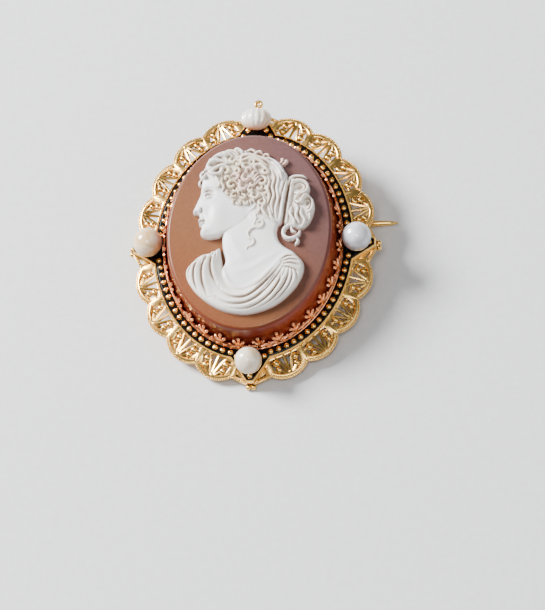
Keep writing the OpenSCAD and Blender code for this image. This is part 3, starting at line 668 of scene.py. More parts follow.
def makeCollar(b, c):
    n, w, top, soft = c["sides"], b["colletWall"], b["colletTop"], c["chamfer"]
    inA, inB = b["colletA"], b["colletB"]
    seat, ledge = b["stoneLow"] - b["gap"], -b["gap"] - b["ledge"]
    profile = [(w, b["barTop"]), (w, top - soft), (w - soft, top), (soft, top), (0, top - soft), (0, seat),
               (ledge, seat), (ledge, b["barTop"])]
    wall = ringStack("colletWall", [ovalRing(inA + d, inB + d, z, n) for d, z in profile])
    # wires soldered round the foot and below the rim
    foot = wires("footWire", [ovalRing(inA + w, inB + w, b["wireTop"] - 0.02, n)], c["wire"], 2, True)
    rim = wires("rimWire", [ovalRing(inA + w, inB + w, top - 0.12, n)], c["upperWire"], 2, True)
    turns = arcTurns(inA + w, inB + w, c["claws"])
    claws = copies(makeClaw(b, c), [ovalFrame(inA, inB, t) for t in turns], "claws")
    between = arcTurns(inA + w, inB + w, c["claws"], 0.0)
    buds = copies(makeBud(b, c), [ovalFrame(inA, inB, t) for t in between], "buds")
    softenEdges(wall, 0.03, 1)
    whole = joinAll([wall, foot, rim, claws, buds], "clawCollet")
    smooth(whole, 45)
    finishPiece(whole, "brooch", "gold_rose", goldRose, "claw_collar")


makeCollar(brooch, collar)
print("collet done")

# the band: gold plate with a plain wire edge, black enamel, a row of round grains, pearl cups, the eye
band = {
    "grainR": 0.48, "grainSteps": 23, "grainInset": 1.0, "grainLevel": 1.1, "grainFlat": 0.8,
    "grainPlay": 0.08, "enamelPlay": 0.04,
    "cupR": 1.15, "cupWall": 0.3, "cupSides": 32, "wireRound": 0.08, "wireDrop": 0.1,
    "eyeWire": 0.27, "eyeRing": 0.48, "eyeLift": 0.4, "eyeTall": 1.35,
}
pearlSpots = {
    "right": {"at": (16.76, 0.0), "r": 2.35, "z": 3.58}, "left": {"at": (-16.76, 0.0), "r": 2.35, "z": 3.58},
    "bottom": {"at": (0.0, -20.46), "r": 2.18, "z": 3.41}, "top": {"at": (0.0, 21.21), "r": 1.75, "z": 2.98},
}


def grainPlaces(b, g):
    # evenly along a quarter of the band, mirrored into the others, clear of the cups
    line = [row[:2] for row in quarterLine(b, g["grainInset"], 40, 1)]
    fine = evenSteps(line, 0.01)
    first = [fine[int(round((len(fine) - 1) * i / g["grainSteps"]))] for i in range(g["grainSteps"] + 1)]
    spots = [(x, y) for x, y in first[:-1]] + [(-x, y) for x, y in first[:0:-1]]
    spots += [(-x, -y) for x, y in first[:-1]] + [(x, -y) for x, y in first[:0:-1]]
    clear = g["cupR"] + g["grainR"] + g["grainPlay"]
    return [(x, y) for x, y in spots
            if min(math.hypot(x - s["at"][0], y - s["at"][1]) for s in pearlSpots.values()) > clear]


def makeCup(b, g, s, name):
    # a cup with a rounded edge that the pearl sits in
    r, base = g["cupR"], b["enamelTop"]
    seat = r - g["cupWall"]
    rise = s["z"] - (math.sqrt(s["r"] ** 2 - seat ** 2) if name != "top" else s["r"]) - b["gap"]
    profile = [(r + 0.1, base - 0.3), (r, base + 0.1), (r - 0.02, rise - 0.1), (r - 0.1, rise),
               (r - 0.24, rise - 0.02), (0.2, rise - 0.12), (0.2, base - 0.3)]
    cup = ringStack("cup", [ovalRing(q, q, z, g["cupSides"]) for q, z in profile])
    cup.data.transform(Matrix.Translation((s["at"][0], s["at"][1], 0)))
    return cup


def makeEye(b, g):
    # ring for a safety chain, on a short tapered root
    y, z = b["pointY"] + b["eyeOut"], b["plateLow"] + g["eyeLift"]
    pickNone()
    bpy.ops.mesh.primitive_torus_add(major_radius=g["eyeRing"], minor_radius=g["eyeWire"], major_segments=32,
                                     minor_segments=12, location=(0, y, z))
    ring = bpy.context.object
    applyPlace()
    bpy.ops.transform.resize(value=(1, 1, g["eyeTall"]), center_override=(0, y, z))
    applyPlace()
    line = [(0, b["pointY"] - 0.9, z, 1.5), (0, b["pointY"] + 0.3, z, 1.25), (0, y - g["eyeRing"], z, 1)]
    return [ring, wires("eyeRoot", [line], 0.3, 3)]


def makeBand(b, g):
    w, top, low = b["wireW"], b["wireTop"], b["plateLow"]
    edge, drop = g["wireRound"], g["wireDrop"]
    rings = [bandRing(b, 0, low), bandRing(b, 0, top - drop), bandRing(b, edge, top),
             bandRing(b, w - edge, top), bandRing(b, w, top - drop), bandRing(b, w, b["plateTop"]),
             innerRing(b, b["plateInA"], b["plateInB"], b["plateTop"]),
             innerRing(b, b["plateInA"], b["plateInB"], low)]
    parts = [ringStack("bandPlate", rings)]
    # one grain, a slightly flattened ball
    grain = ball(g["grainR"], (0, 0, g["grainLevel"]), 16, 10, (1, 1, g["grainFlat"]))
    parts.append(copies(grain, [Matrix.Translation((x, y, 0)) for x, y in grainPlaces(b, g)], "grains"))
    parts += [makeCup(b, g, s, name) for name, s in pearlSpots.items()]
    parts += makeEye(b, g)
    whole = joinAll(parts, "goldBand")
    smooth(whole, 40)
    finishPiece(whole, "brooch", "gold_bright", goldBright, "band_plate")


def makeEnamel(b, g):
    # enamel, slightly domed between wire and collet
    w, base, high = b["wireW"], b["plateTop"] + b["gap"], b["enamelTop"]
    inA, inB = b["plateInA"] + g["enamelPlay"], b["plateInB"] + g["enamelPlay"]
    rings = [bandRing(b, w + b["gap"], base), bandRing(b, w + b["gap"], high - 0.1),
             bandRing(b, w + 0.12, high - 0.02), bandRing(b, w + 0.3, high),
             innerRing(b, inA + 0.25, inB + 0.25, high), innerRing(b, inA + 0.08, inB + 0.08, high - 0.03),
             innerRing(b, inA, inB, high - 0.1), innerRing(b, inA, inB, base)]
    obj = ringStack("enamelBand", rings)
    smooth(obj, 40)
    finishPiece(obj, "brooch", "enamel_black", enamel, "enamel_band")


makeBand(brooch, band)
makeEnamel(brooch, band)
print("band and enamel done")

# the pearls: three nearly round ones, and a fluted button at the top
pearls = {
    "sides": 56, "uneven": 0.006, "flutes": 14, "fluteDepth": 0.09,
    "topAcross": 2.5, "topDeep": 1.85, "topHigh": 1.75, "dip": 0.22, "dipWide": 0.3,
}
pearlLooks = {
    "right": ("pearl_grey", pearlGrey), "left": ("pearl_cream", pearlCream),
    "bottom": ("pearl_white", pearlWhite),
}


def makeRoundPearl(name, p):
    slotName, material = pearlLooks[name]
    s = pearlSpots[name]
    obj = ball(s["r"], (0, 0, 0), p["sides"], p["sides"] // 2)
    obj.name = "pearl" + name.capitalize()
    for point in obj.data.vertices:
        # never quite round: slow swellings of about a hundredth
        x, y, z = point.co
        swelling = 1 - p["uneven"] * (1 + math.sin(1.3 * x + 0.7 * y) * math.cos(0.9 * z - y))
        point.co = Vector((x, y, z)) * swelling + Vector((s["at"][0], s["at"][1], s["z"]))
    smooth(obj, 180)
    finishPiece(obj, "brooch", slotName, material, "pearl_" + name)


def makeButtonPearl(p):
    # its poles lie along y, and the flutes run from one to the other
    s = pearlSpots["top"]
    pickNone()
    bpy.ops.mesh.primitive_uv_sphere_add(segments=p["flutes"] * 6, ring_count=32, radius=1,
                                         rotation=(math.pi / 2, 0, 0))
    obj = bpy.context.object
    applyPlace()
    obj.name = "pearlTop"
    for point in obj.data.vertices:
        x, y, z = point.co
        around, flat = math.atan2(z, x), math.hypot(x, z)
        flute = 1 - p["fluteDepth"] * (0.5 - 0.5 * math.cos(p["flutes"] * around)) * min(1, flat * 1.6)
        dip = p["dip"] * math.exp(-(flat / p["dipWide"]) ** 2) * (1 if y > 0 else 0)
        point.co = (s["at"][0] + p["topAcross"] * x * flute, s["at"][1] + p["topDeep"] * (y - dip),
                    s["z"] + p["topHigh"] * z * flute)
    smooth(obj, 180)
    finishPiece(obj, "brooch", "pearl_white", pearlButton, "pearl_top")


for pearlName in pearlLooks:
    makeRoundPearl(pearlName, pearls)
makeButtonPearl(pearls)
print("pearls done")

# the border: sixteen pierced lobes with a palmette each, blades at the points, end balls
border = {
    "chord": 6.4, "deep": 2.4, "rise": 1.4, "thick": 0.7, "rim": 0.72, "slope": 11.0, "lobes": 4,
    "sideGap": 0.85, "inGap": 0.22, "rib": 0.27, "ribLevel": -0.14, "ball": 0.54,
    "ridge": 0.36, "ridgeIn": 0.56, "tab": 0.12, "tabDeep": 0.7, "bead": 0.15, "beadStep": 0.33,
    "beadIn": 0.14, "webLift": 0.15, "webCrown": 0.16, "bladeBeadIn": 0.16, "ballApart": 0.42,
    "bandClear": 0.2, "tipPast": 0.1, "ringIn": 0.15, "ringOver": 0.2,
}


def lobeArc(k, inset, n):
    # the lobe's outer arc, inset from its edge
    half = k["chord"] / 2
    big = (half * half + k["rise"] ** 2) / (2 * k["rise"])
    reach = math.asin(half / big)
    r = big - inset
    turns = [reach * (1 - 2 * i / n) for i in range(n + 1)]
    return [(r * math.sin(t), k["rise"] - big + r * math.cos(t)) for t in turns]


def lobeOpening(k, n):
    # the D-shaped opening
    low, crest = -k["deep"] + k["inGap"], k["rise"] - k["rim"]
    wide = k["chord"] / 2 - k["sideGap"]
    rows = []
    for i in range(n + 1):
        t = math.pi * i / n
        c = math.cos(t)
        rows.append((wide * math.copysign(abs(c) ** 0.7, c), low + (crest - low) * math.sin(t) ** 0.75))
    return rows


def fillBetween(name, loops, low, high):
    # a plate between closed outlines, as thick as asked
    made = []
    for loop in loops:
        pickNone()
        bpy.ops.mesh.primitive_circle_add(vertices=len(loop), radius=1, fill_type="NOTHING")
        ring = bpy.context.object
        ring.data.vertices.foreach_set("co", np.array([(x, y, low) for x, y in loop], np.float32).ravel())
        made.append(ring)
    obj = joinAll(made, name)
    editAll(obj)
    bpy.ops.mesh.fill(use_beauty=True)
    bpy.ops.mesh.select_all(action="SELECT")
    bpy.ops.mesh.extrude_region_move(TRANSFORM_OT_translate={"value": (0, 0, high - low)})
    endEdit()
    closeUp(obj)
    return obj


def beadRow(k, line, level):
    # small beads side by side along a line
    pickNone()
    bpy.ops.mesh.primitive_ico_sphere_add(subdivisions=2, radius=k["bead"], location=(0, 0, level))
    bead = bpy.context.object
    applyPlace()
    places = [Matrix.Translation((x, y, 0)) for x, y in evenSteps(line, k["beadStep"])]
    return copies(bead, places, "beads")


def makePalmette(k):
    # three leaves down to the band, a scroll, two struts and two balls on each side, and a heart on the rim
    crest, low = k["rise"] - k["rim"], -k["deep"] + k["inGap"]
    ribs = [[(0, crest + 0.25, 0.8), (0, -0.3, 1.0), (0, low * 0.6, 0.95), (0, low - 0.3, 0.7)]]
    balls = []
    for side in (-1, 1):
        ribs += [[(side * x, y, share) for x, y, share in rib] for rib in (
            [(0.14, crest + 0.22, 0.8), (0.5, -0.25, 1.0), (0.84, low * 0.52, 0.98), (1.06, low * 0.8, 0.85),
             (1.4, low - 0.2, 0.75)],
            [(0.2, crest + 0.15, 0.8), (0.68, crest - 0.3, 1.05), (1.15, crest - 0.75, 1.05),
             (1.5, crest - 1.15, 0.9)],
            [(1.56, low * 0.68, 0.9), (2.0, low * 0.74, 0.75), (2.5, low * 0.8, 0.9)],
            [(1.5, crest - 1.15, 0.9), (2.0, crest - 0.95, 0.75), (2.5, crest - 1.0, 0.9)])]
        balls += [(side * 1.57, low * 0.68, 1.08), (side * 1.52, crest - 1.14, 1.0)]
    lines = [[(x, y, k["ribLevel"], share) for x, y, share in smoothLine(rib, 5)] for rib in ribs]
    heart = [(0, crest + 0.3, -0.1, 1.4), (0, crest - 0.1, -0.08, 1.8), (0, crest - 0.5, k["ribLevel"], 1.0)]
    parts = [wires("palmette", lines, k["rib"], 2), wires("heart", [heart], 0.2, 3)]
    return parts + [ball(k["ball"] * size, (x, y, -0.2), 14, 10, (1, 1, 0.85)) for x, y, size in balls]


def makeLobe(k):
    half, outer = k["chord"] / 2 + k["tab"], lobeArc(k, 0.0, 28)
    outer += [(-half, -0.3), (-half, -k["deep"] - k["tabDeep"]), (half, -k["deep"] - k["tabDeep"]),
              (half, -0.3)]
    plate = fillBetween("lobePlate", [outer, lobeOpening(k, 36)], -k["thick"], -0.04)
    softenEdges(plate, 0.06)
    # the rim is a half-round ridge with a beaded edge outside it
    ridge = [(x, y, k["ribLevel"]) for x, y in lobeArc(k, k["ridgeIn"], 28)]
    parts = [plate, wires("rimRidge", [ridge], k["ridge"], 3), beadRow(k, lobeArc(k, k["beadIn"], 60), -0.05)]
    return joinAll(parts + makePalmette(k), "lobe")


def notchTurns(b, k):
    # turns of the notches between the lobes, evenly spaced along their oval in a quarter
    a1, b1 = b["notchA"], b["notchB"]
    t0, t1 = math.asin(b["flankSide"] / b1), math.acos(b["flankEnd"] / a1)
    fine = [t0 + (t1 - t0) * i / 400 for i in range(401)]
    spots = [ovalPoint(a1, b1, t) for t in fine]
    runs = runsAlong(spots)
    return [float(np.interp(runs[-1] * i / k["lobes"], runs, fine)) for i in range(k["lobes"] + 1)]


def lobePlace(b, k, t0, t1):
    # where a lobe goes, and how much wider and deeper it is than the modelled one
    p0, p1, pm = (ovalPoint(b["notchA"], b["notchB"], t) for t in (t0, t1, (t0 + t1) / 2))
    mid, far = (p0 + p1) / 2, p1 - p0
    deep = np.linalg.norm(pm - ovalPoint(b["bandA"], b["bandB"], (t0 + t1) / 2)) - k["bandClear"]
    turn = math.atan2(far[1], far[0]) + math.pi
    place = (Matrix.Translation((mid[0], mid[1], 0)) @ Matrix.Rotation(turn, 4, "Z")
             @ Matrix.Translation((0, k["rise"], 0)) @ Matrix.Rotation(math.radians(-k["slope"]), 4, "X")
             @ Matrix.Translation((0, -k["rise"], 0)))
    return place, np.linalg.norm(far) / k["chord"], deep / k["deep"]


def makeBlade(k, notch, tip, side):
    # solid blade between the last lobe and a point, with a short slit and a beaded edge
    notch, tip = np.array(notch), np.array(tip)
    run = (tip - notch) / np.linalg.norm(tip - notch)
    inward = np.array((run[1], -run[0])) * side
    mid = (notch + tip) / 2 - run * 0.25 + inward * 0.58
    slit = [mid + run * r + inward * w for r, w in
            ((-0.7, -0.04), (-0.4, -0.15), (0.1, -0.14), (0.6, -0.04), (0.1, 0.1), (-0.35, 0.22),
             (-0.62, 0.2))]
    low = k["webLift"] - k["thick"]
    high = low + k["thick"] + k["webCrown"]
    plate = fillBetween("web", [[notch - inward * 0.05, tip, tip * 0.9, notch * 0.87], slit], low, high)
    softenEdges(plate, 0.05)
    edge = [p + inward * k["bladeBeadIn"] for p in (notch, tip)]
    return [plate, beadRow(k, edge, high - 0.03)]


def makeBorder(b, k):
    turns = notchTurns(b, k)
    lobe = makeLobe(k)
    smooth(lobe, 40)
    parts = []
    for t0, t1 in zip(turns, turns[1:]):
        place, wide, deep = lobePlace(b, k, t0, t1)
        twin = lobe.copy()
        twin.data = lobe.data.copy()
        bpy.context.collection.objects.link(twin)
        for point in twin.data.vertices:
            point.co.x *= wide
            point.co.y *= deep if point.co.y < 0 else 1
        twin.data.transform(place)
        parts.append(twin)
    bpy.data.objects.remove(lobe)
    side, end = (ovalPoint(b["notchA"], b["notchB"], t) for t in (turns[0], turns[-1]))
    past = k["tipPast"]
    parts += makeBlade(k, side, (b["pointX"] + past, b["tipHalf"] + past), 1)
    parts += makeBlade(k, end, (b["tipHalf"] + past, b["pointY"] + past), -1)
    quarter = joinAll(parts, "quarter")
    mirrors = [Matrix.Diagonal((sx, sy, 1, 1)) for sx in (1, -1) for sy in (1, -1)]
    parts = [copies(quarter, mirrors, "lobes")]
    # the carrying ring below, between border and band
    inA, inB = b["plateInA"] + k["ringOver"], b["plateInB"] + k["ringOver"]
    low, high = b["barTop"] + b["gap"], b["plateLow"] - b["gap"]
    under = [bandRing(b, k["ringIn"], low), bandRing(b, k["ringIn"], high),
             innerRing(b, inA, inB, high), innerRing(b, inA, inB, low)]
    parts.append(ringStack("underRing", under))
    # a pair of end balls at each point but the top one, where the eye is
    for turn, far in ((0, b["pointX"]), (math.pi, b["pointX"]), (-math.pi / 2, b["pointY"])):
        turned = Matrix.Rotation(turn, 4, "Z")
        for s in (-1, 1):
            spot = turned @ Vector((far + b["ballOut"], s * k["ballApart"], b["endLevel"]))
            parts.append(ball(b["endBall"], spot, 20, 14))
        root = [turned @ Vector((far + d, 0, b["endLevel"] + 0.12)) for d in (-1.2, 0.3)]
        parts.append(wires("ballRoot", [root], 0.26, 3))
    whole = joinAll(parts, "piercedBorder")
    smooth(whole, 40)
    finishPiece(whole, "brooch", "gold_bright", goldBright, "border")


makeBorder(brooch, border)
print("border done")

# the back keeps the CAD shapes: bar, knuckles, catch, rivet and pin
for node in ("back_frame", "hinge_rivet", "pin_stem"):
    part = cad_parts[node]
    part.data.materials.clear()
    part.data.materials.append(goldBright)

print("back ready")

# the carving: the white layer as a fine sheet of heights in millimetres over the brown face, cut like a cameo
bust = {
    "step": 0.078, "left": -10.3, "right": 11.1, "low": -14.9, "high": 14.9,
    "steep": 9.0, "floor": -0.25, "top": 2.28, "topEase": 0.3, "thinFrom": 0.12, "thinOver": 0.5,
    "rimShare": 0.55,
    "headTop": 1.78, "hairTop": 1.9, "curlBase": 1.36, "neckTop": 1.45, "dressTop": 1.6,
}
gridX = np.arange(bust["left"], bust["right"], bust["step"])
gridY = np.arange(bust["low"], bust["high"], bust["step"])
sheetX, sheetY = np.meshgrid(gridX, gridY)
sheet = {"h": np.full(sheetX.shape, -2.0), "warm": np.zeros(sheetX.shape), "rose": np.zeros(sheetX.shape)}


def windowOf(line, pad):
    # the part of the sheet around a line
    (x0, y0), (x1, y1) = line[:, :2].min(0) - pad, line[:, :2].max(0) + pad
    i0, i1 = (int(np.clip((x - bust["left"]) / bust["step"] + k, 0, len(gridX)))
              for x, k in ((x0, 0), (x1, 2)))
    j0, j1 = (int(np.clip((y - bust["low"]) / bust["step"] + k, 0, len(gridY)))
              for y, k in ((y0, 0), (y1, 2)))
    return slice(j0, j1), slice(i0, i1)


def nearLine(line, win, closed=False):
    # distance to a line, how far along it, and on which side
    x, y = sheetX[win], sheetY[win]
    best, along, side = np.full(x.shape, 1e9), np.zeros(x.shape), np.ones(x.shape)
    n = len(line)
    spans = n if closed else n - 1
    for i in range(spans):
        a, d = line[i, :2], line[(i + 1) % n, :2] - line[i, :2]
        px, py = x - a[0], y - a[1]
        t = np.clip((px * d[0] + py * d[1]) / max(d @ d, 1e-9), 0, 1)
        dist = np.hypot(px - t * d[0], py - t * d[1])
        near = dist < best
        best[near] = dist[near]
        along[near] = (i + t[near]) / spans
        side[near] = np.sign(d[0] * py - d[1] * px)[near]
    return best, along, side


def insideOf(line, win):
    x, y = sheetX[win], sheetY[win]
    hit = np.zeros(x.shape, bool)
    for a, b in zip(np.roll(line, 1, 0), line):
        if a[1] != b[1]:
            hit ^= ((a[1] > y) != (b[1] > y)) & (x < (b[0] - a[0]) * (y - a[1]) / (b[1] - a[1]) + a[0])
    return hit


def layOn(win, h, blend=0.0):
    # the higher of old and new, softly joined where asked
    old = sheet["h"][win]
    if blend:
        k = np.clip(0.5 + 0.5 * (h - old) / blend, 0, 1)
        sheet["h"][win] = old * (1 - k) + h * k + blend * k * (1 - k)
    else:
        sheet["h"][win] = np.maximum(old, h)


def domeOf(share):
    return np.sqrt(np.clip(1 - (1 - np.clip(share, 0, 1)) ** 2, 0, 1))


def swell(points, top, crown, rim, blend=0.0, warm=0.0):
    # a rounded body inside an outline: a steep rim and a slow crown
    line = smoothLine(points, 8, True)
    win = windowOf(line, 0.5)
    dist = nearLine(line, win, True)[0]
    into = np.where(insideOf(line, win), dist, -dist)
    k = bust["rimShare"]
    h = np.where(into > 0, top * (k * domeOf(into / rim) + (1 - k) * domeOf(into / crown)),
                 into * bust["steep"])
    layOn(win, h, blend)
    sheet["warm"][win] = np.where(into > 0, np.maximum(sheet["warm"][win], warm), sheet["warm"][win])


def strand(points, wide, lift, stand=0.0, ends=0.5, warm=0.0):
    # a round lock along a line; stand gives it its own body where it leaves the mass
    line = smoothLine(points, 8)
    win = windowOf(line, wide + 0.4)
    dist, along = nearLine(line, win)[:2]
    taper = np.clip(np.minimum(along, 1 - along) / 0.22, 0, 1)
    r = wide * (ends + (1 - ends) * np.sqrt(taper))
    if stand:
        layOn(win, np.where(dist < r, stand * (0.45 + 0.55 * domeOf((r - dist) / r)),
                            (r - dist) * bust["steep"]))
    bump = np.sqrt(np.clip(1 - (dist / r) ** 2, 0, 1))
    h = sheet["h"][win]
    sheet["h"][win] = np.where((bump > 0) & (h > 0), h + bump * lift * (0.5 + 0.5 * taper), h)
    sheet["warm"][win] = np.where(bump > 0, np.maximum(sheet["warm"][win], warm), sheet["warm"][win])


def crease(points, wide, deep):
    # a soft groove, or a soft ridge where deep is below zero
    line = smoothLine(points, 8)
    win = windowOf(line, wide * 3)
    dist, along = nearLine(line, win)[:2]
    taper = np.clip(np.minimum(along, 1 - along) / 0.2, 0, 1)
    h = sheet["h"][win]
    cut = deep * np.exp(-(dist / wide) ** 2) * (0.3 + 0.7 * taper)
    sheet["h"][win] = np.where(h > 0.2, h - cut, h)


def fold(points, wide, lift):
    # a fold of cloth: a slow rise on one side, a sharp drop into a groove on the other
    line = smoothLine(points, 8)
    win = windowOf(line, wide * 3)
    dist, along, side = nearLine(line, win)
    across = dist * side
    taper = np.clip(np.minimum(along, 1 - along) / 0.3, 0, 1)
    shape = np.exp(-(np.where(across > 0, across / (wide * 1.5), across / (wide * 0.55))) ** 2)
    groove = np.exp(-((across + wide * 0.75) / (wide * 0.3)) ** 2)
    h = sheet["h"][win]
    sheet["h"][win] = np.where(h > 0.2, h + lift * (0.25 + 0.75 * taper) * (shape - 1.1 * groove), h)


def dab(x, y, wide, tall, lift):
    # a soft mound, or a hollow where lift is below zero
    k = np.exp(-(((sheetX - x) / wide) ** 2 + ((sheetY - y) / tall) ** 2))
    sheet["h"] = np.where(sheet["h"] > 0.2, sheet["h"] + lift * k, sheet["h"])


def lock(points, wide, lift, warm, rose):
    # a round lock with its own crest, lying over what is lower
    line = smoothLine(points, 6)
    win = windowOf(line, wide + 0.4)
    dist, along = nearLine(line, win)[:2]
    taper = np.clip(np.minimum(along, 1 - along) / 0.25, 0, 1)
    r = wide * (0.4 + 0.6 * np.sqrt(taper))
    bed = np.maximum(sheet["mass"][win], 0.3)
    fall = wide * 1.6 * (1 - np.sqrt(np.clip(1 - (dist / r) ** 2, 0, 1)))
    h = bed + 1.15 * lift * (0.5 + 0.5 * taper) - fall
    h = np.where(dist < r, h, (r - dist) * bust["steep"])
    top = (dist < r) & (h > sheet["h"][win])
    layOn(win, h, 0.03)
    for key, value in (("warm", warm), ("rose", rose)):
        sheet[key][win] = np.where(top, value, sheet[key][win])


def comma(x, y, r, turn, way, sweep, wide, lift, warm, rose):
    # a lock that comes in with a short tail and rolls up around its own middle
    start, points = math.radians(turn), []
    for i in range(8):
        a, k = start + way * math.radians(sweep) * i / 7, r * (1 - 0.66 * i / 7)
        points.append((x + math.cos(a) * k, y + math.sin(a) * k))
    tail = r * 0.8
    points.insert(0, (points[0][0] + way * math.sin(start) * tail,
                      points[0][1] - way * math.cos(start) * tail))
    lock(points, wide, lift, warm, rose)


def arcOf(x, y, rx, ry, start, stop):
    turns = [math.radians(start + (stop - start) * i / 8) for i in range(9)]
    return [(x + rx * math.cos(t), y + ry * math.sin(t)) for t in turns]


def carveDress(v):
    # neck, shoulders and the cloth over them
    swell([(-3.7, 1.2), (-4.1, -1.4), (-3.9, -3.6), (-3.55, -5.6), (-4.6, -8.4), (-2.2, -11.5), (2, -12),
           (6.4, -9.4), (8.6, -7.2), (8.6, -5.6), (7.5, -4.1), (5.9, -3.05), (4.95, -2.0), (4.55, -0.6),
           (4.7, 1.6), (2, 3.4), (-2, 3)],
          v["neckTop"], 3.4, 0.5)
    # the flesh under the ear, the neck's long muscle and the collar bone
    swell([(-0.6, 5.0), (2.6, 5.2), (3.4, 3.0), (3.0, 1.0), (0.6, 0.6), (-0.6, 2.4)], 1.5, 1.6, 0.8, 0.3)
    crease([(-3.0, -1.0), (-1.6, -3.4), (-0.4, -5.6)], 0.6, -0.09)
    crease([(-2.8, -7.2), (0.2, -7.0), (3.4, -5.2), (5.2, -4.0)], 0.5, -0.08)
    crease([(-2.6, -6.3), (-0.2, -6.1), (2.4, -4.8)], 0.5, 0.08)
    swell([(-4.35, -3.1), (-5, -3.35), (-6.2, -3.9), (-7.4, -4.2), (-8.6, -5.2), (-9.5, -6.3), (-9.7, -7.4),
           (-9.2, -8.8), (-8, -10.5), (-6.2, -12.1), (-3.6, -13.6), (-0.6, -14.25), (2.2, -13.85),
           (4.9, -12.7), (7.2, -10.7), (8.6, -8.5), (9.05, -6.8), (8.75, -5.5), (7.7, -4.5), (6.5, -4.4),
           (5.4, -5.3), (4.1, -6.9), (2, -8.9), (-0.3, -10.1), (-2.1, -9.9), (-3.2, -8.4), (-3.7, -6.4),
           (-4.05, -4.6)],
          v["dressTop"], 3.0, 0.5, 0.12, 0.3)
    # long folds down the near shoulder
    for line, wide, lift in (([(-4.7, -3.7), (-5.3, -5.6), (-5.1, -7.6), (-4.2, -9.4)], 0.5, 0.3),
                             ([(-5.8, -4.3), (-6.6, -6.4), (-6.5, -8.8), (-5.6, -11.2)], 0.55, 0.32),
                             ([(-7.1, -4.8), (-7.9, -6.7), (-7.8, -8.8), (-6.9, -10.9)], 0.5, 0.28),
                             ([(-8.3, -5.7), (-8.9, -7.2), (-8.6, -9.0)], 0.4, 0.22)):
        fold(line, wide, lift * 1.3)
    # small gathers along its upper edge
    for x, y in ((-4.7, -3.6), (-5.5, -3.9), (-6.3, -4.3), (-7.1, -4.6), (-7.9, -5.2), (-8.6, -5.9)):
        fold([(x - 0.2, y + 0.3), (x + 0.05, y - 0.5), (x, y - 1.3)], 0.24, 0.17)
    # rolled neckline
    crease([(-3.9, -5.3), (-3.5, -7.3), (-2.6, -9.2), (-1.2, -10.15), (0.4, -9.9), (2.2, -8.7), (4, -6.9),
            (5.4, -5.3)],
           0.3, -0.2)
    # folds that sweep from below up to the strap
    for k, line in enumerate(([(-3.7, -10.3), (-2, -11.3), (0, -11.3), (2, -9.9), (3.8, -8), (5.3, -6.1)],
                              [(-4.3, -11.6), (-2.4, -12.4), (0.2, -12.3), (2.5, -10.8), (4.4, -8.6),
                               (5.7, -6.5)],
                              [(-2.6, -13.2), (-0.2, -13.3), (2.2, -12.4), (4.2, -10.6), (5.4, -8.6),
                               (6.1, -6.8)],
                              [(1.6, -13.4), (3.7, -12.2), (5.4, -10.4), (6.3, -8.6), (6.6, -7.1)])):
        fold(line, 0.46 - 0.03 * k, 0.35 - 0.02 * k)
    # the fan below the strap
    for line in ([(3.4, -13.0), (5.2, -11.6), (6.6, -9.9), (7.1, -8.3), (7.0, -7.0)],
                 [(5.6, -12.0), (7.2, -10.2), (7.8, -8.6), (7.5, -7.1)],
                 [(4.6, -7.2), (3.0, -9.0), (1.2, -10.4)], [(5.2, -7.4), (4.2, -9.2), (2.6, -11.2)],
                 [(6.0, -7.6), (5.4, -9.6), (4.2, -11.6)]):
        fold(line, 0.3, 0.24)
    # strap: a fan of short folds
    for line in ([(5.4, -5.4), (6.4, -4.8), (7.7, -4.75)], [(5.6, -5.7), (6.9, -5.35), (8.3, -5.5)],
                 [(5.7, -6.1), (7.1, -6.0), (8.7, -6.4)], [(5.7, -6.5), (7, -6.8), (8.5, -7.5)]):
        fold(line, 0.26, 0.24)


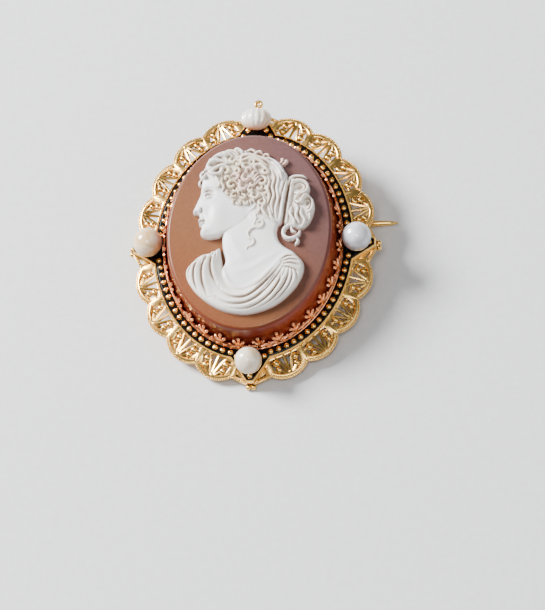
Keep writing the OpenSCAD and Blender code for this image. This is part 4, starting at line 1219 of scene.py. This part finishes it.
def carveFace(v):
    # a plain classical profile in even thirds: brow, base of nose and chin equally far apart
    swell([(-6.2, 12.2), (-6.9, 11.2), (-7.3, 10), (-7.5, 9), (-7.62, 8.1), (-7.68, 7.3), (-7.74, 6.7),
           (-7.78, 6.1), (-8.1, 5.2), (-8.5, 4.2), (-8.84, 3.45), (-8.9, 3.1), (-8.62, 2.84), (-8.2, 2.76),
           (-7.88, 2.55), (-7.84, 2.1), (-8.02, 1.72), (-8.0, 1.5), (-7.7, 1.34), (-7.86, 1.12),
           (-7.82, 0.84), (-7.5, 0.58), (-7.46, 0.22), (-7.6, -0.2), (-7.55, -0.7), (-7.15, -1.15),
           (-6.4, -1.38), (-5.4, -1.3), (-4.4, -1.1), (-3.0, -0.4), (-1.2, 0.7), (0.2, 2), (1.2, 4),
           (1.8, 6.5), (0.8, 10), (-2, 12)], v["headTop"], 3.0, 0.42, 0.42)
    dab(-4.7, 3.0, 1.5, 1.9, 0.3)  # cheek
    dab(-6.2, 2.6, 0.6, 1.1, -0.14)
    dab(-3.4, 7.2, 1.0, 1.2, -0.14)  # temple
    dab(-6.35, 5.75, 0.75, 0.62, -0.62)  # socket of the eye
    crease([(-7.5, 6.75), (-6.6, 7.15), (-5.5, 7.0), (-4.7, 6.4)], 0.3, -0.24)  # brow
    dab(-6.45, 5.62, 0.4, 0.34, 0.42)
    crease([(-7.05, 5.5), (-6.8, 5.98), (-6.25, 6.08), (-5.5, 5.7)], 0.12, -0.42)
    crease([(-7.0, 5.36), (-6.65, 5.2), (-6.15, 5.26), (-5.6, 5.5)], 0.11, -0.28)
    crease([(-6.95, 6.32), (-6.35, 6.5), (-5.5, 6.2)], 0.12, 0.26)
    crease([(-7.6, 6.0), (-8.1, 4.6), (-8.5, 3.6)], 0.2, -0.1)  # bridge of the nose
    dab(-7.8, 3.25, 0.36, 0.34, 0.32)
    crease([(-7.42, 3.6), (-7.32, 3.1), (-7.55, 2.75)], 0.13, 0.34)
    crease([(-8.4, 2.96), (-8.1, 2.92)], 0.09, 0.16)
    crease([(-7.4, 2.8), (-6.95, 1.95), (-6.75, 1.2)], 0.22, 0.14)
    crease([(-7.85, 1.62), (-7.4, 1.62), (-6.98, 1.42)], 0.16, -0.3)  # lips
    crease([(-7.78, 0.98), (-7.3, 0.96), (-7.0, 1.2)], 0.16, -0.3)
    crease([(-7.8, 1.32), (-7.3, 1.3), (-6.8, 1.34)], 0.11, 0.42)
    dab(-6.95, -0.35, 0.55, 0.5, 0.2)  # chin
    strand([(0.1, 5.2), (0.95, 5.1), (1.25, 4.4), (0.95, 3.5), (0.35, 2.9)], 0.28, 0.24)  # ear
    strand([(0.2, 4.5), (0.62, 4.1), (0.4, 3.4)], 0.22, 0.14)


hairEdge = [(-6.3, 10.6), (-6.4, 11.7), (-5.5, 12.8), (-3.8, 13.4), (-1.6, 13.5), (0.4, 13.1), (1.7, 12.4),
            (3.2, 12.1), (4.6, 11.3), (5.6, 10), (6.2, 8.6), (6.3, 5), (5.9, 2), (4.8, 0.6), (3.4, 1.0),
            (1.9, 2.2), (1.2, 3.8), (-1.4, 3.8), (-3.3, 5.0), (-4.3, 6.6), (-5.3, 8.2), (-6.2, 9.4)]


def carveHair(v):
    swell(hairEdge, v["hairTop"], 3.2, 0.45, 0.22)
    # combed hair between the curls and the ribbons, running down to the nape
    h = sheet["h"]
    angle = np.arctan2(sheetY - 12.4, sheetX - 0.6)
    comb = (np.clip((sheetX - 1.6) / 1.2, 0, 1) * np.clip((6.2 - sheetX) / 0.4, 0, 1)
            * np.clip((sheetY + 0.4) / 2.0, 0, 1) * np.clip((11.6 - sheetY) / 1.0, 0, 1))
    sheet["h"] = np.where(h > 0.8, h + comb * (0.05 * np.cos(angle * 46) + 0.03 * np.cos(angle * 21 + 1)), h)
    # gathered knot behind the ribbons, with its loops and hanging locks
    swell([(6.2, 8.5), (7.6, 8.5), (9.2, 7.9), (9.7, 6.6), (9.5, 5.7), (10.3, 4.7), (10.5, 3.2), (10.1, 1.6),
           (9.2, 0.2), (8.1, -0.2), (6.6, 0.3), (5.6, 1), (5.7, 4.5)], 1.1, 1.6, 0.4, warm=0.3)
    dab(8.1, 6.8, 0.75, 0.55, -0.6)
    dab(9.5, 4.2, 0.42, 0.65, -0.5)
    strand(arcOf(8.1, 6.8, 1.45, 1.15, 165, -120), 0.34, 0.72)
    strand(arcOf(8.05, 6.85, 0.78, 0.55, 160, -110), 0.2, 0.25, warm=0.6)
    strand([(6.3, 8.55), (7.3, 8.85), (8.3, 8.8), (9.0, 8.55)], 0.27, 0.3, stand=0.8)
    strand(arcOf(9.45, 3.9, 0.9, 1.35, 170, -85), 0.3, 0.65)
    strand(arcOf(9.35, 3.9, 0.38, 0.75, 150, -100), 0.18, 0.25, warm=0.5)
    strand([(7.4, 4.6), (8.1, 4.1), (8.7, 4.8), (9.2, 5.4), (9.9, 5.4)], 0.26, 0.6)
    strand([(7.3, 4), (7.9, 3.1), (7.7, 1.9), (8.2, 0.7)], 0.33, 0.6)
    strand([(8.5, 3.2), (8.5, 2.1), (9.1, 1.1), (8.7, 0.1)], 0.28, 0.58)
    strand([(6.9, 3.4), (6.8, 2.1), (7.4, 1), (7.3, 0.1)], 0.28, 0.58)
    strand([(9.8, 2.4), (9.9, 1.5), (9.4, 0.5)], 0.22, 0.42)
    strand([(8.2, 5.6), (7.6, 5.2), (7.4, 4.6)], 0.22, 0.3, warm=0.5)
    strand(arcOf(6.75, -0.6, 1.15, 1.1, 80, 300) + [(8, -1.1), (8.25, -0.5)], 0.32, 0.42, stand=0.62)
    strand([(7.6, -1.5), (8.0, -2.1), (7.6, -2.7)], 0.26, 0.3, stand=0.5)
    strand([(6.9, 0.5), (7, -0.3), (7.6, -0.6)], 0.26, 0.35, stand=0.5)
    # two flat ribbons
    for line in ([(6.35, 8.3), (5.9, 6.2), (5.45, 3.6), (5.2, 0.9)],
                 [(7.0, 7.9), (6.7, 6), (6.35, 3.4), (6.05, 0.9)]):
        strand(line, 0.33, 0.46, ends=0.8)
    crease([(6.7, 8), (6.3, 6.1), (5.9, 3.5), (5.65, 0.9)], 0.14, 0.4)
    crease([(6.0, 8.3), (5.45, 6.2), (5.0, 3.6), (4.8, 1.2)], 0.17, 0.34)


sideCurls = (  # x, y, size, turn, way, sweep, thickness, lift, cream, pink
    (-3.77, 9.84, 0.85, 200, -1, 330, 0.34, 0.44, 0.9, 0.0),
    (-2.66, 7.35, 0.72, 60, 1, 340, 0.31, 0.58, 1.0, 0.0),
    (-2.63, 11.6, 0.52, 150, 1, 240, 0.35, 0.44, 0.8, 0.0),
    (-1.71, 11.1, 0.52, 30, -1, 240, 0.35, 0.53, 0.9, 0.0),
    (-0.62, 10.55, 0.44, 100, 1, 240, 0.32, 0.56, 0.7, 0.2),
    (0.09, 9.8, 0.5, 200, -1, 240, 0.33, 0.60, 0.4, 0.8),
    (-1.89, 9.78, 0.5, 300, 1, 240, 0.32, 0.53, 0.9, 0.2),
    (-2.05, 8.65, 0.62, 120, -1, 230, 0.34, 0.58, 0.4, 0.9),
    (-0.32, 8.5, 0.72, 150, 1, 235, 0.36, 0.63, 0.4, 0.9),
    (-0.73, 6.95, 0.72, 140, 1, 235, 0.36, 0.63, 0.3, 0.8),
    (2.14, 7.75, 0.8, 60, -1, 250, 0.3, 0.63, 0.7, 0.1),
    (1.24, 5.5, 0.78, 170, 1, 240, 0.3, 0.58, 0.8, 0.1),
    (-1.35, 5.95, 0.34, 0, 1, 320, 0.2, 0.60, 0.9, 0.3),
    (-0.81, 5.2, 0.42, 90, -1, 320, 0.24, 0.53, 1.0, 0.0),
    (-1.4, 4.2, 0.36, 200, 1, 300, 0.21, 0.43, 0.9, 0.1),
    (-3.45, 8.45, 0.45, 20, 1, 250, 0.28, 0.38, 0.9, 0.1),
    (-4.0, 11.35, 0.6, 110, -1, 260, 0.32, 0.33, 0.6, 0.0),
    (0.35, 11.3, 0.5, 320, 1, 240, 0.31, 0.44, 0.6, 0.1),
    (1.35, 10.35, 0.55, 230, -1, 240, 0.32, 0.53, 0.6, 0.3),
    (1.0, 9.1, 0.4, 60, 1, 240, 0.27, 0.56, 0.5, 0.6),
    (0.3, 5.75, 0.42, 280, 1, 260, 0.26, 0.56, 0.8, 0.3),
    (-2.25, 5.55, 0.42, 130, 1, 280, 0.25, 0.44, 1.0, 0.1),
    (-0.35, 4.15, 0.36, 20, -1, 280, 0.22, 0.44, 0.8, 0.0),
    (0.6, 7.35, 0.42, 340, -1, 240, 0.28, 0.58, 0.5, 0.6),
    (-1.55, 7.8, 0.34, 250, 1, 250, 0.24, 0.54, 0.5, 0.7),
    (2.75, 9.5, 0.55, 150, 1, 250, 0.3, 0.48, 0.5, 0.3),
    (2.75, 6.0, 0.5, 80, -1, 260, 0.27, 0.53, 0.7, 0.2),
    (-3.2, 6.15, 0.36, 300, -1, 260, 0.24, 0.36, 0.9, 0.1),
    (-0.9, 12.05, 0.5, 250, -1, 240, 0.32, 0.33, 0.5, 0.1),
    (2.2, 4.2, 0.5, 120, 1, 260, 0.26, 0.43, 0.6, 0.1),
    (1.75, 6.75, 0.46, 30, -1, 270, 0.27, 0.5, 0.7, 0.2),
    (0.35, 6.45, 0.4, 150, 1, 270, 0.25, 0.55, 0.5, 0.4),
    (2.5, 6.9, 0.34, 290, 1, 250, 0.22, 0.45, 0.6, 0.1),
    (-2.0, 6.5, 0.4, 200, 1, 270, 0.25, 0.5, 0.8, 0.2),
    (-4.1, 7.35, 0.34, 170, -1, 260, 0.23, 0.28, 0.7, 0.0),
    (0.75, 4.3, 0.34, 200, -1, 260, 0.22, 0.43, 0.8, 0.1),
)
hairLocks = (  # line, thickness, lift, cream, pink: hairline and crown first, then the side
    ([(-3.2, 11.0), (-4.4, 11.5), (-5.7, 11.6), (-6.6, 11.0), (-6.5, 10.3), (-5.7, 10.15), (-5.3, 10.6)], 0.4,
     0.6, 0.2, 0.0),
    ([(-3.6, 12.0), (-4.8, 12.5), (-5.9, 12.2), (-6.5, 11.5)], 0.38, 0.5, 0.1, 0.0),
    ([(-2.6, 12.2), (-3.6, 13.0), (-4.8, 13.0), (-5.4, 12.3), (-4.9, 11.9)], 0.38, 0.5, 0.3, 0.1),
    ([(-1.7, 12.5), (-2.5, 13.4), (-3.6, 13.6), (-4.1, 13.0), (-3.6, 12.5), (-3.1, 12.7)], 0.36, 0.5, 0.5,
     0.0),
    ([(-1.0, 12.5), (-1.4, 13.4), (-2.1, 13.9), (-2.7, 13.6)], 0.4, 0.5, 0.1, 0.0),
    ([(-0.6, 12.6), (-0.5, 13.3), (0.1, 13.7), (0.7, 13.4), (0.6, 12.9)], 0.28, 0.5, 0.3, 0.4),
    ([(0.7, 12.5), (1.0, 13.2), (1.6, 13.35), (1.9, 12.9)], 0.27, 0.5, 0.4, 0.7),
    ([(2.0, 12.2), (2.3, 12.8), (2.8, 12.8), (3.0, 12.3)], 0.24, 0.45, 0.3, 0.8),
    ([(-5.0, 10.9), (-4.3, 10.3), (-4.6, 9.5), (-5.5, 9.3), (-6.2, 9.6), (-6.6, 10.1)], 0.36, 0.5, 0.2, 0.0),
    ([(-6.5, 9.55), (-5.7, 9.9), (-4.9, 10.55), (-4.0, 10.75), (-3.1, 10.4)], 0.32, 0.62, 0.4, 0.0),
    ([(-5.3, 8.9), (-4.9, 8.2), (-4.6, 7.4), (-4.9, 6.9)], 0.26, 0.42, 0.4, 0.0),
    ([(-4.2, 8.7), (-4.3, 7.8), (-3.9, 6.9), (-4.1, 6.2)], 0.26, 0.45, 0.6, 0.1),
    ([(-6.4, 10.0), (-7.2, 10.05), (-7.75, 9.5), (-7.55, 8.85), (-7.05, 8.85), (-7.0, 9.3)], 0.27, 0.75, 0.0,
     0.2),
    ([(-7.1, 8.8), (-7.8, 8.5), (-8.0, 8.0), (-7.6, 7.7)], 0.21, 0.55, 0.0, 0.3),
    ([(-1.9, 12.1), (-0.4, 12.45), (1.3, 12.1), (2.7, 11.5), (3.9, 10.5)], 0.34, 0.5, 0.5, 0.2),
    ([(-1.2, 11.6), (0.3, 11.85), (1.8, 11.3), (3.0, 10.4)], 0.3, 0.55, 0.8, 0.3),
    ([(1.3, 10.95), (2.3, 10.4), (3.3, 9.3)], 0.28, 0.55, 0.6, 0.2),
    ([(2.6, 12.2), (4.0, 11.5), (5.0, 10.4), (5.6, 9.1)], 0.36, 0.42, 0.0, 0.0),
    ([(3.2, 11.3), (4.2, 10.5), (5.0, 9.3), (5.3, 8.0)], 0.34, 0.42, 0.1, 0.1),
    ([(0.95, 7.55), (1.35, 8.2), (1.95, 8.75)], 0.2, 0.6, 0.1, 0.7),
    ([(0.8, 7.9), (1.1, 8.6), (1.6, 9.25)], 0.2, 0.58, 0.1, 0.7),
    ([(1.2, 7.3), (1.75, 7.9), (2.3, 8.3)], 0.18, 0.6, 0.1, 0.6),
    ([(3.0, 8.8), (3.3, 7.6), (3.05, 6.4), (3.4, 5.2), (3.1, 4.0)], 0.28, 0.5, 0.6, 0.1),
    ([(3.6, 9.8), (4.05, 8.2), (3.8, 6.8), (4.1, 5.4), (3.75, 3.8), (4.0, 2.2)], 0.27, 0.42, 0.5, 0.1),
    ([(4.4, 9.8), (4.75, 8.2), (4.5, 6.6), (4.75, 4.8), (4.4, 3.0), (4.6, 1.4)], 0.26, 0.36, 0.3, 0.0),
    ([(2.4, 5.2), (2.75, 4.2), (2.3, 3.2), (2.8, 2.2), (3.5, 1.5)], 0.27, 0.45, 0.5, 0.1),
    ([(3.2, 3.6), (3.55, 2.6), (3.8, 1.6), (4.4, 0.9)], 0.25, 0.36, 0.3, 0.0),
    ([(1.5, 3.9), (1.9, 3.0), (1.5, 2.2)], 0.24, 0.4, 0.5, 0.2),
    ([(-1.9, 4.9), (-2.4, 4.4), (-2.2, 3.8)], 0.2, 0.35, 0.8, 0.1),
    ([(4.5, 11.1), (5.0, 11.4), (5.2, 11.9), (4.85, 12.05)], 0.22, 0.4, 0.2, 1.0),
    ([(5.0, 10.9), (5.5, 11.2), (5.85, 11.6), (5.45, 11.75)], 0.24, 0.4, 0.2, 1.0),
)


def carveCurls(v):
    # lower the hair inside its outline first, so that the curls stand out of it
    line = smoothLine(hairEdge, 8, True)
    win = windowOf(line, 0.5)
    inside = np.where(insideOf(line, win), nearLine(line, win, True)[0], 0)
    ease = np.clip(inside / 1.1, 0, 1) * np.clip((5.6 - sheetX[win]) / 1.2, 0, 1)
    h = sheet["h"][win]
    sheet["h"][win] = h * (1 - ease) + np.minimum(h, v["curlBase"]) * ease
    sheet["warm"][win] = np.maximum(sheet["warm"][win], ease * np.clip((4.2 - sheetX[win]) / 2, 0, 1) * 0.55)
    sheet["mass"] = sheet["h"].copy()
    for line, wide, lift, warm, rose in hairLocks:
        lock(line, wide, lift, warm, rose)
    for x, y, size, turn, way, sweep, wide, lift, warm, rose in sideCurls:
        comma(x, y, size, turn, way, sweep, wide, lift, warm, rose)
    # lock on the neck: an open ring, then an S
    strand([(1.3, 2.6), (1.25, 1.7), (1.6, 1.0), (2.25, 1.15), (2.5, 0.5), (2.0, -0.05), (1.2, 0.0),
            (0.5, -0.35), (0.1, -1.0), (0.35, -1.7), (0.95, -2.0), (1.1, -2.6), (0.7, -3.05), (0.15, -3.2),
            (-0.05, -3.7)],
           0.23, 0.3, ends=0.55, warm=0.45)
    strand([(1.6, 1.8), (1.0, 0.6), (1.3, 0.2)], 0.15, 0.16)


def makeCarving(b, v):
    carveDress(v)
    carveFace(v)
    carveHair(v)
    carveCurls(v)
    h = np.clip(sheet["h"], v["floor"], None)
    # what stands too high is eased off below the top
    ease, start = v["topEase"], v["top"] - v["topEase"]
    h = np.where(h > start, start + ease * np.tanh((h - v["top"] + ease) / ease), h)
    pickNone()
    bpy.ops.mesh.primitive_grid_add(x_subdivisions=len(gridX) - 1, y_subdivisions=len(gridY) - 1, size=2)
    obj = bpy.context.object
    obj.name = "carvedBust"
    places = np.stack([sheetX, sheetY, b["stoneTop"] + h], -1).astype(np.float32)
    obj.data.vertices.foreach_set("co", places.ravel())
    tint = obj.data.color_attributes.new("carveTint", "FLOAT_COLOR", "POINT")
    thin = 1 - np.clip((h - v["thinFrom"]) / v["thinOver"], 0, 1)
    colours = np.stack([sheet["warm"], thin, sheet["rose"], np.ones_like(h)], -1).astype(np.float32)
    tint.data.foreach_set("color", colours.ravel())
    # cut away what lies below the face of the stone
    low = (h <= v["floor"] + 0.001).ravel()
    corners = np.zeros(len(obj.data.polygons) * 4, np.int32)
    obj.data.polygons.foreach_get("vertices", corners)
    gone = low[corners.reshape(-1, 4)].all(1)
    pickOnly(obj)
    bpy.context.tool_settings.mesh_select_mode = (False, False, True)
    for group in (obj.data.vertices, obj.data.edges):
        group.foreach_set("select", np.zeros(len(group), bool))
    obj.data.polygons.foreach_set("select", gone)
    bpy.ops.object.mode_set(mode="EDIT")
    bpy.ops.mesh.delete(type="FACE")
    # close the sheet below
    bpy.ops.mesh.select_mode(type="EDGE")
    bpy.ops.mesh.select_all(action="DESELECT")
    bpy.ops.mesh.select_non_manifold()
    bpy.ops.mesh.fill(use_beauty=False)
    bpy.ops.mesh.select_all(action="SELECT")
    bpy.ops.mesh.normals_make_consistent(inside=False)
    endEdit()
    smooth(obj, 180)
    finishPiece(obj, "brooch", "agate_white", agatePale, "cameo_relief")


makeCarving(brooch, bust)
print("carving done")


# floor and lights
studio = {
    "floor": 1.6, "sky": "#C9CCD2", "skyPower": 0.26,
    "key": 25.0, "keySize": 0.36, "keyAt": (-0.6, 0.24, 0.52),
    "fill": 1.6, "fillSize": 0.7, "fillAt": (0.6, -0.3, 0.45),
    "top": 2.8, "topSize": 0.35, "topAt": (0.05, -0.35, 0.8),
    "card": 0.35, "cardSize": 0.45, "cardAt": (-0.13, 0.36, 0.85),
}


def makeStudio(s):
    pickNone()
    bpy.ops.mesh.primitive_plane_add(size=s["floor"], location=(0, 0, 0))
    floor = bpy.context.object
    floor.name = "studioFloor"
    floor.data.materials.append(floorMaterial("paperFloor"))
    for name in ("key", "fill", "top", "card"):
        bpy.ops.object.light_add(type="AREA", location=s[name + "At"])
        lamp = bpy.context.object
        lamp.name = name + "Light"
        lamp.data.shape = "DISK"
        lamp.data.size = s[name + "Size"]
        lamp.data.energy = s[name]
        lamp.rotation_euler = (Vector((0, 0, 0)) - Vector(s[name + "At"])).to_track_quat("-Z", "Y").to_euler()
    world = bpy.data.worlds.new("studioSky")
    bpy.context.scene.world = world
    world.use_nodes = True
    back = world.node_tree.nodes["Background"]
    back.inputs["Color"].default_value = linear(s["sky"])
    back.inputs["Strength"].default_value = s["skyPower"]


makeStudio(studio)
print("studio done")

bpy.context.view_layer.update()
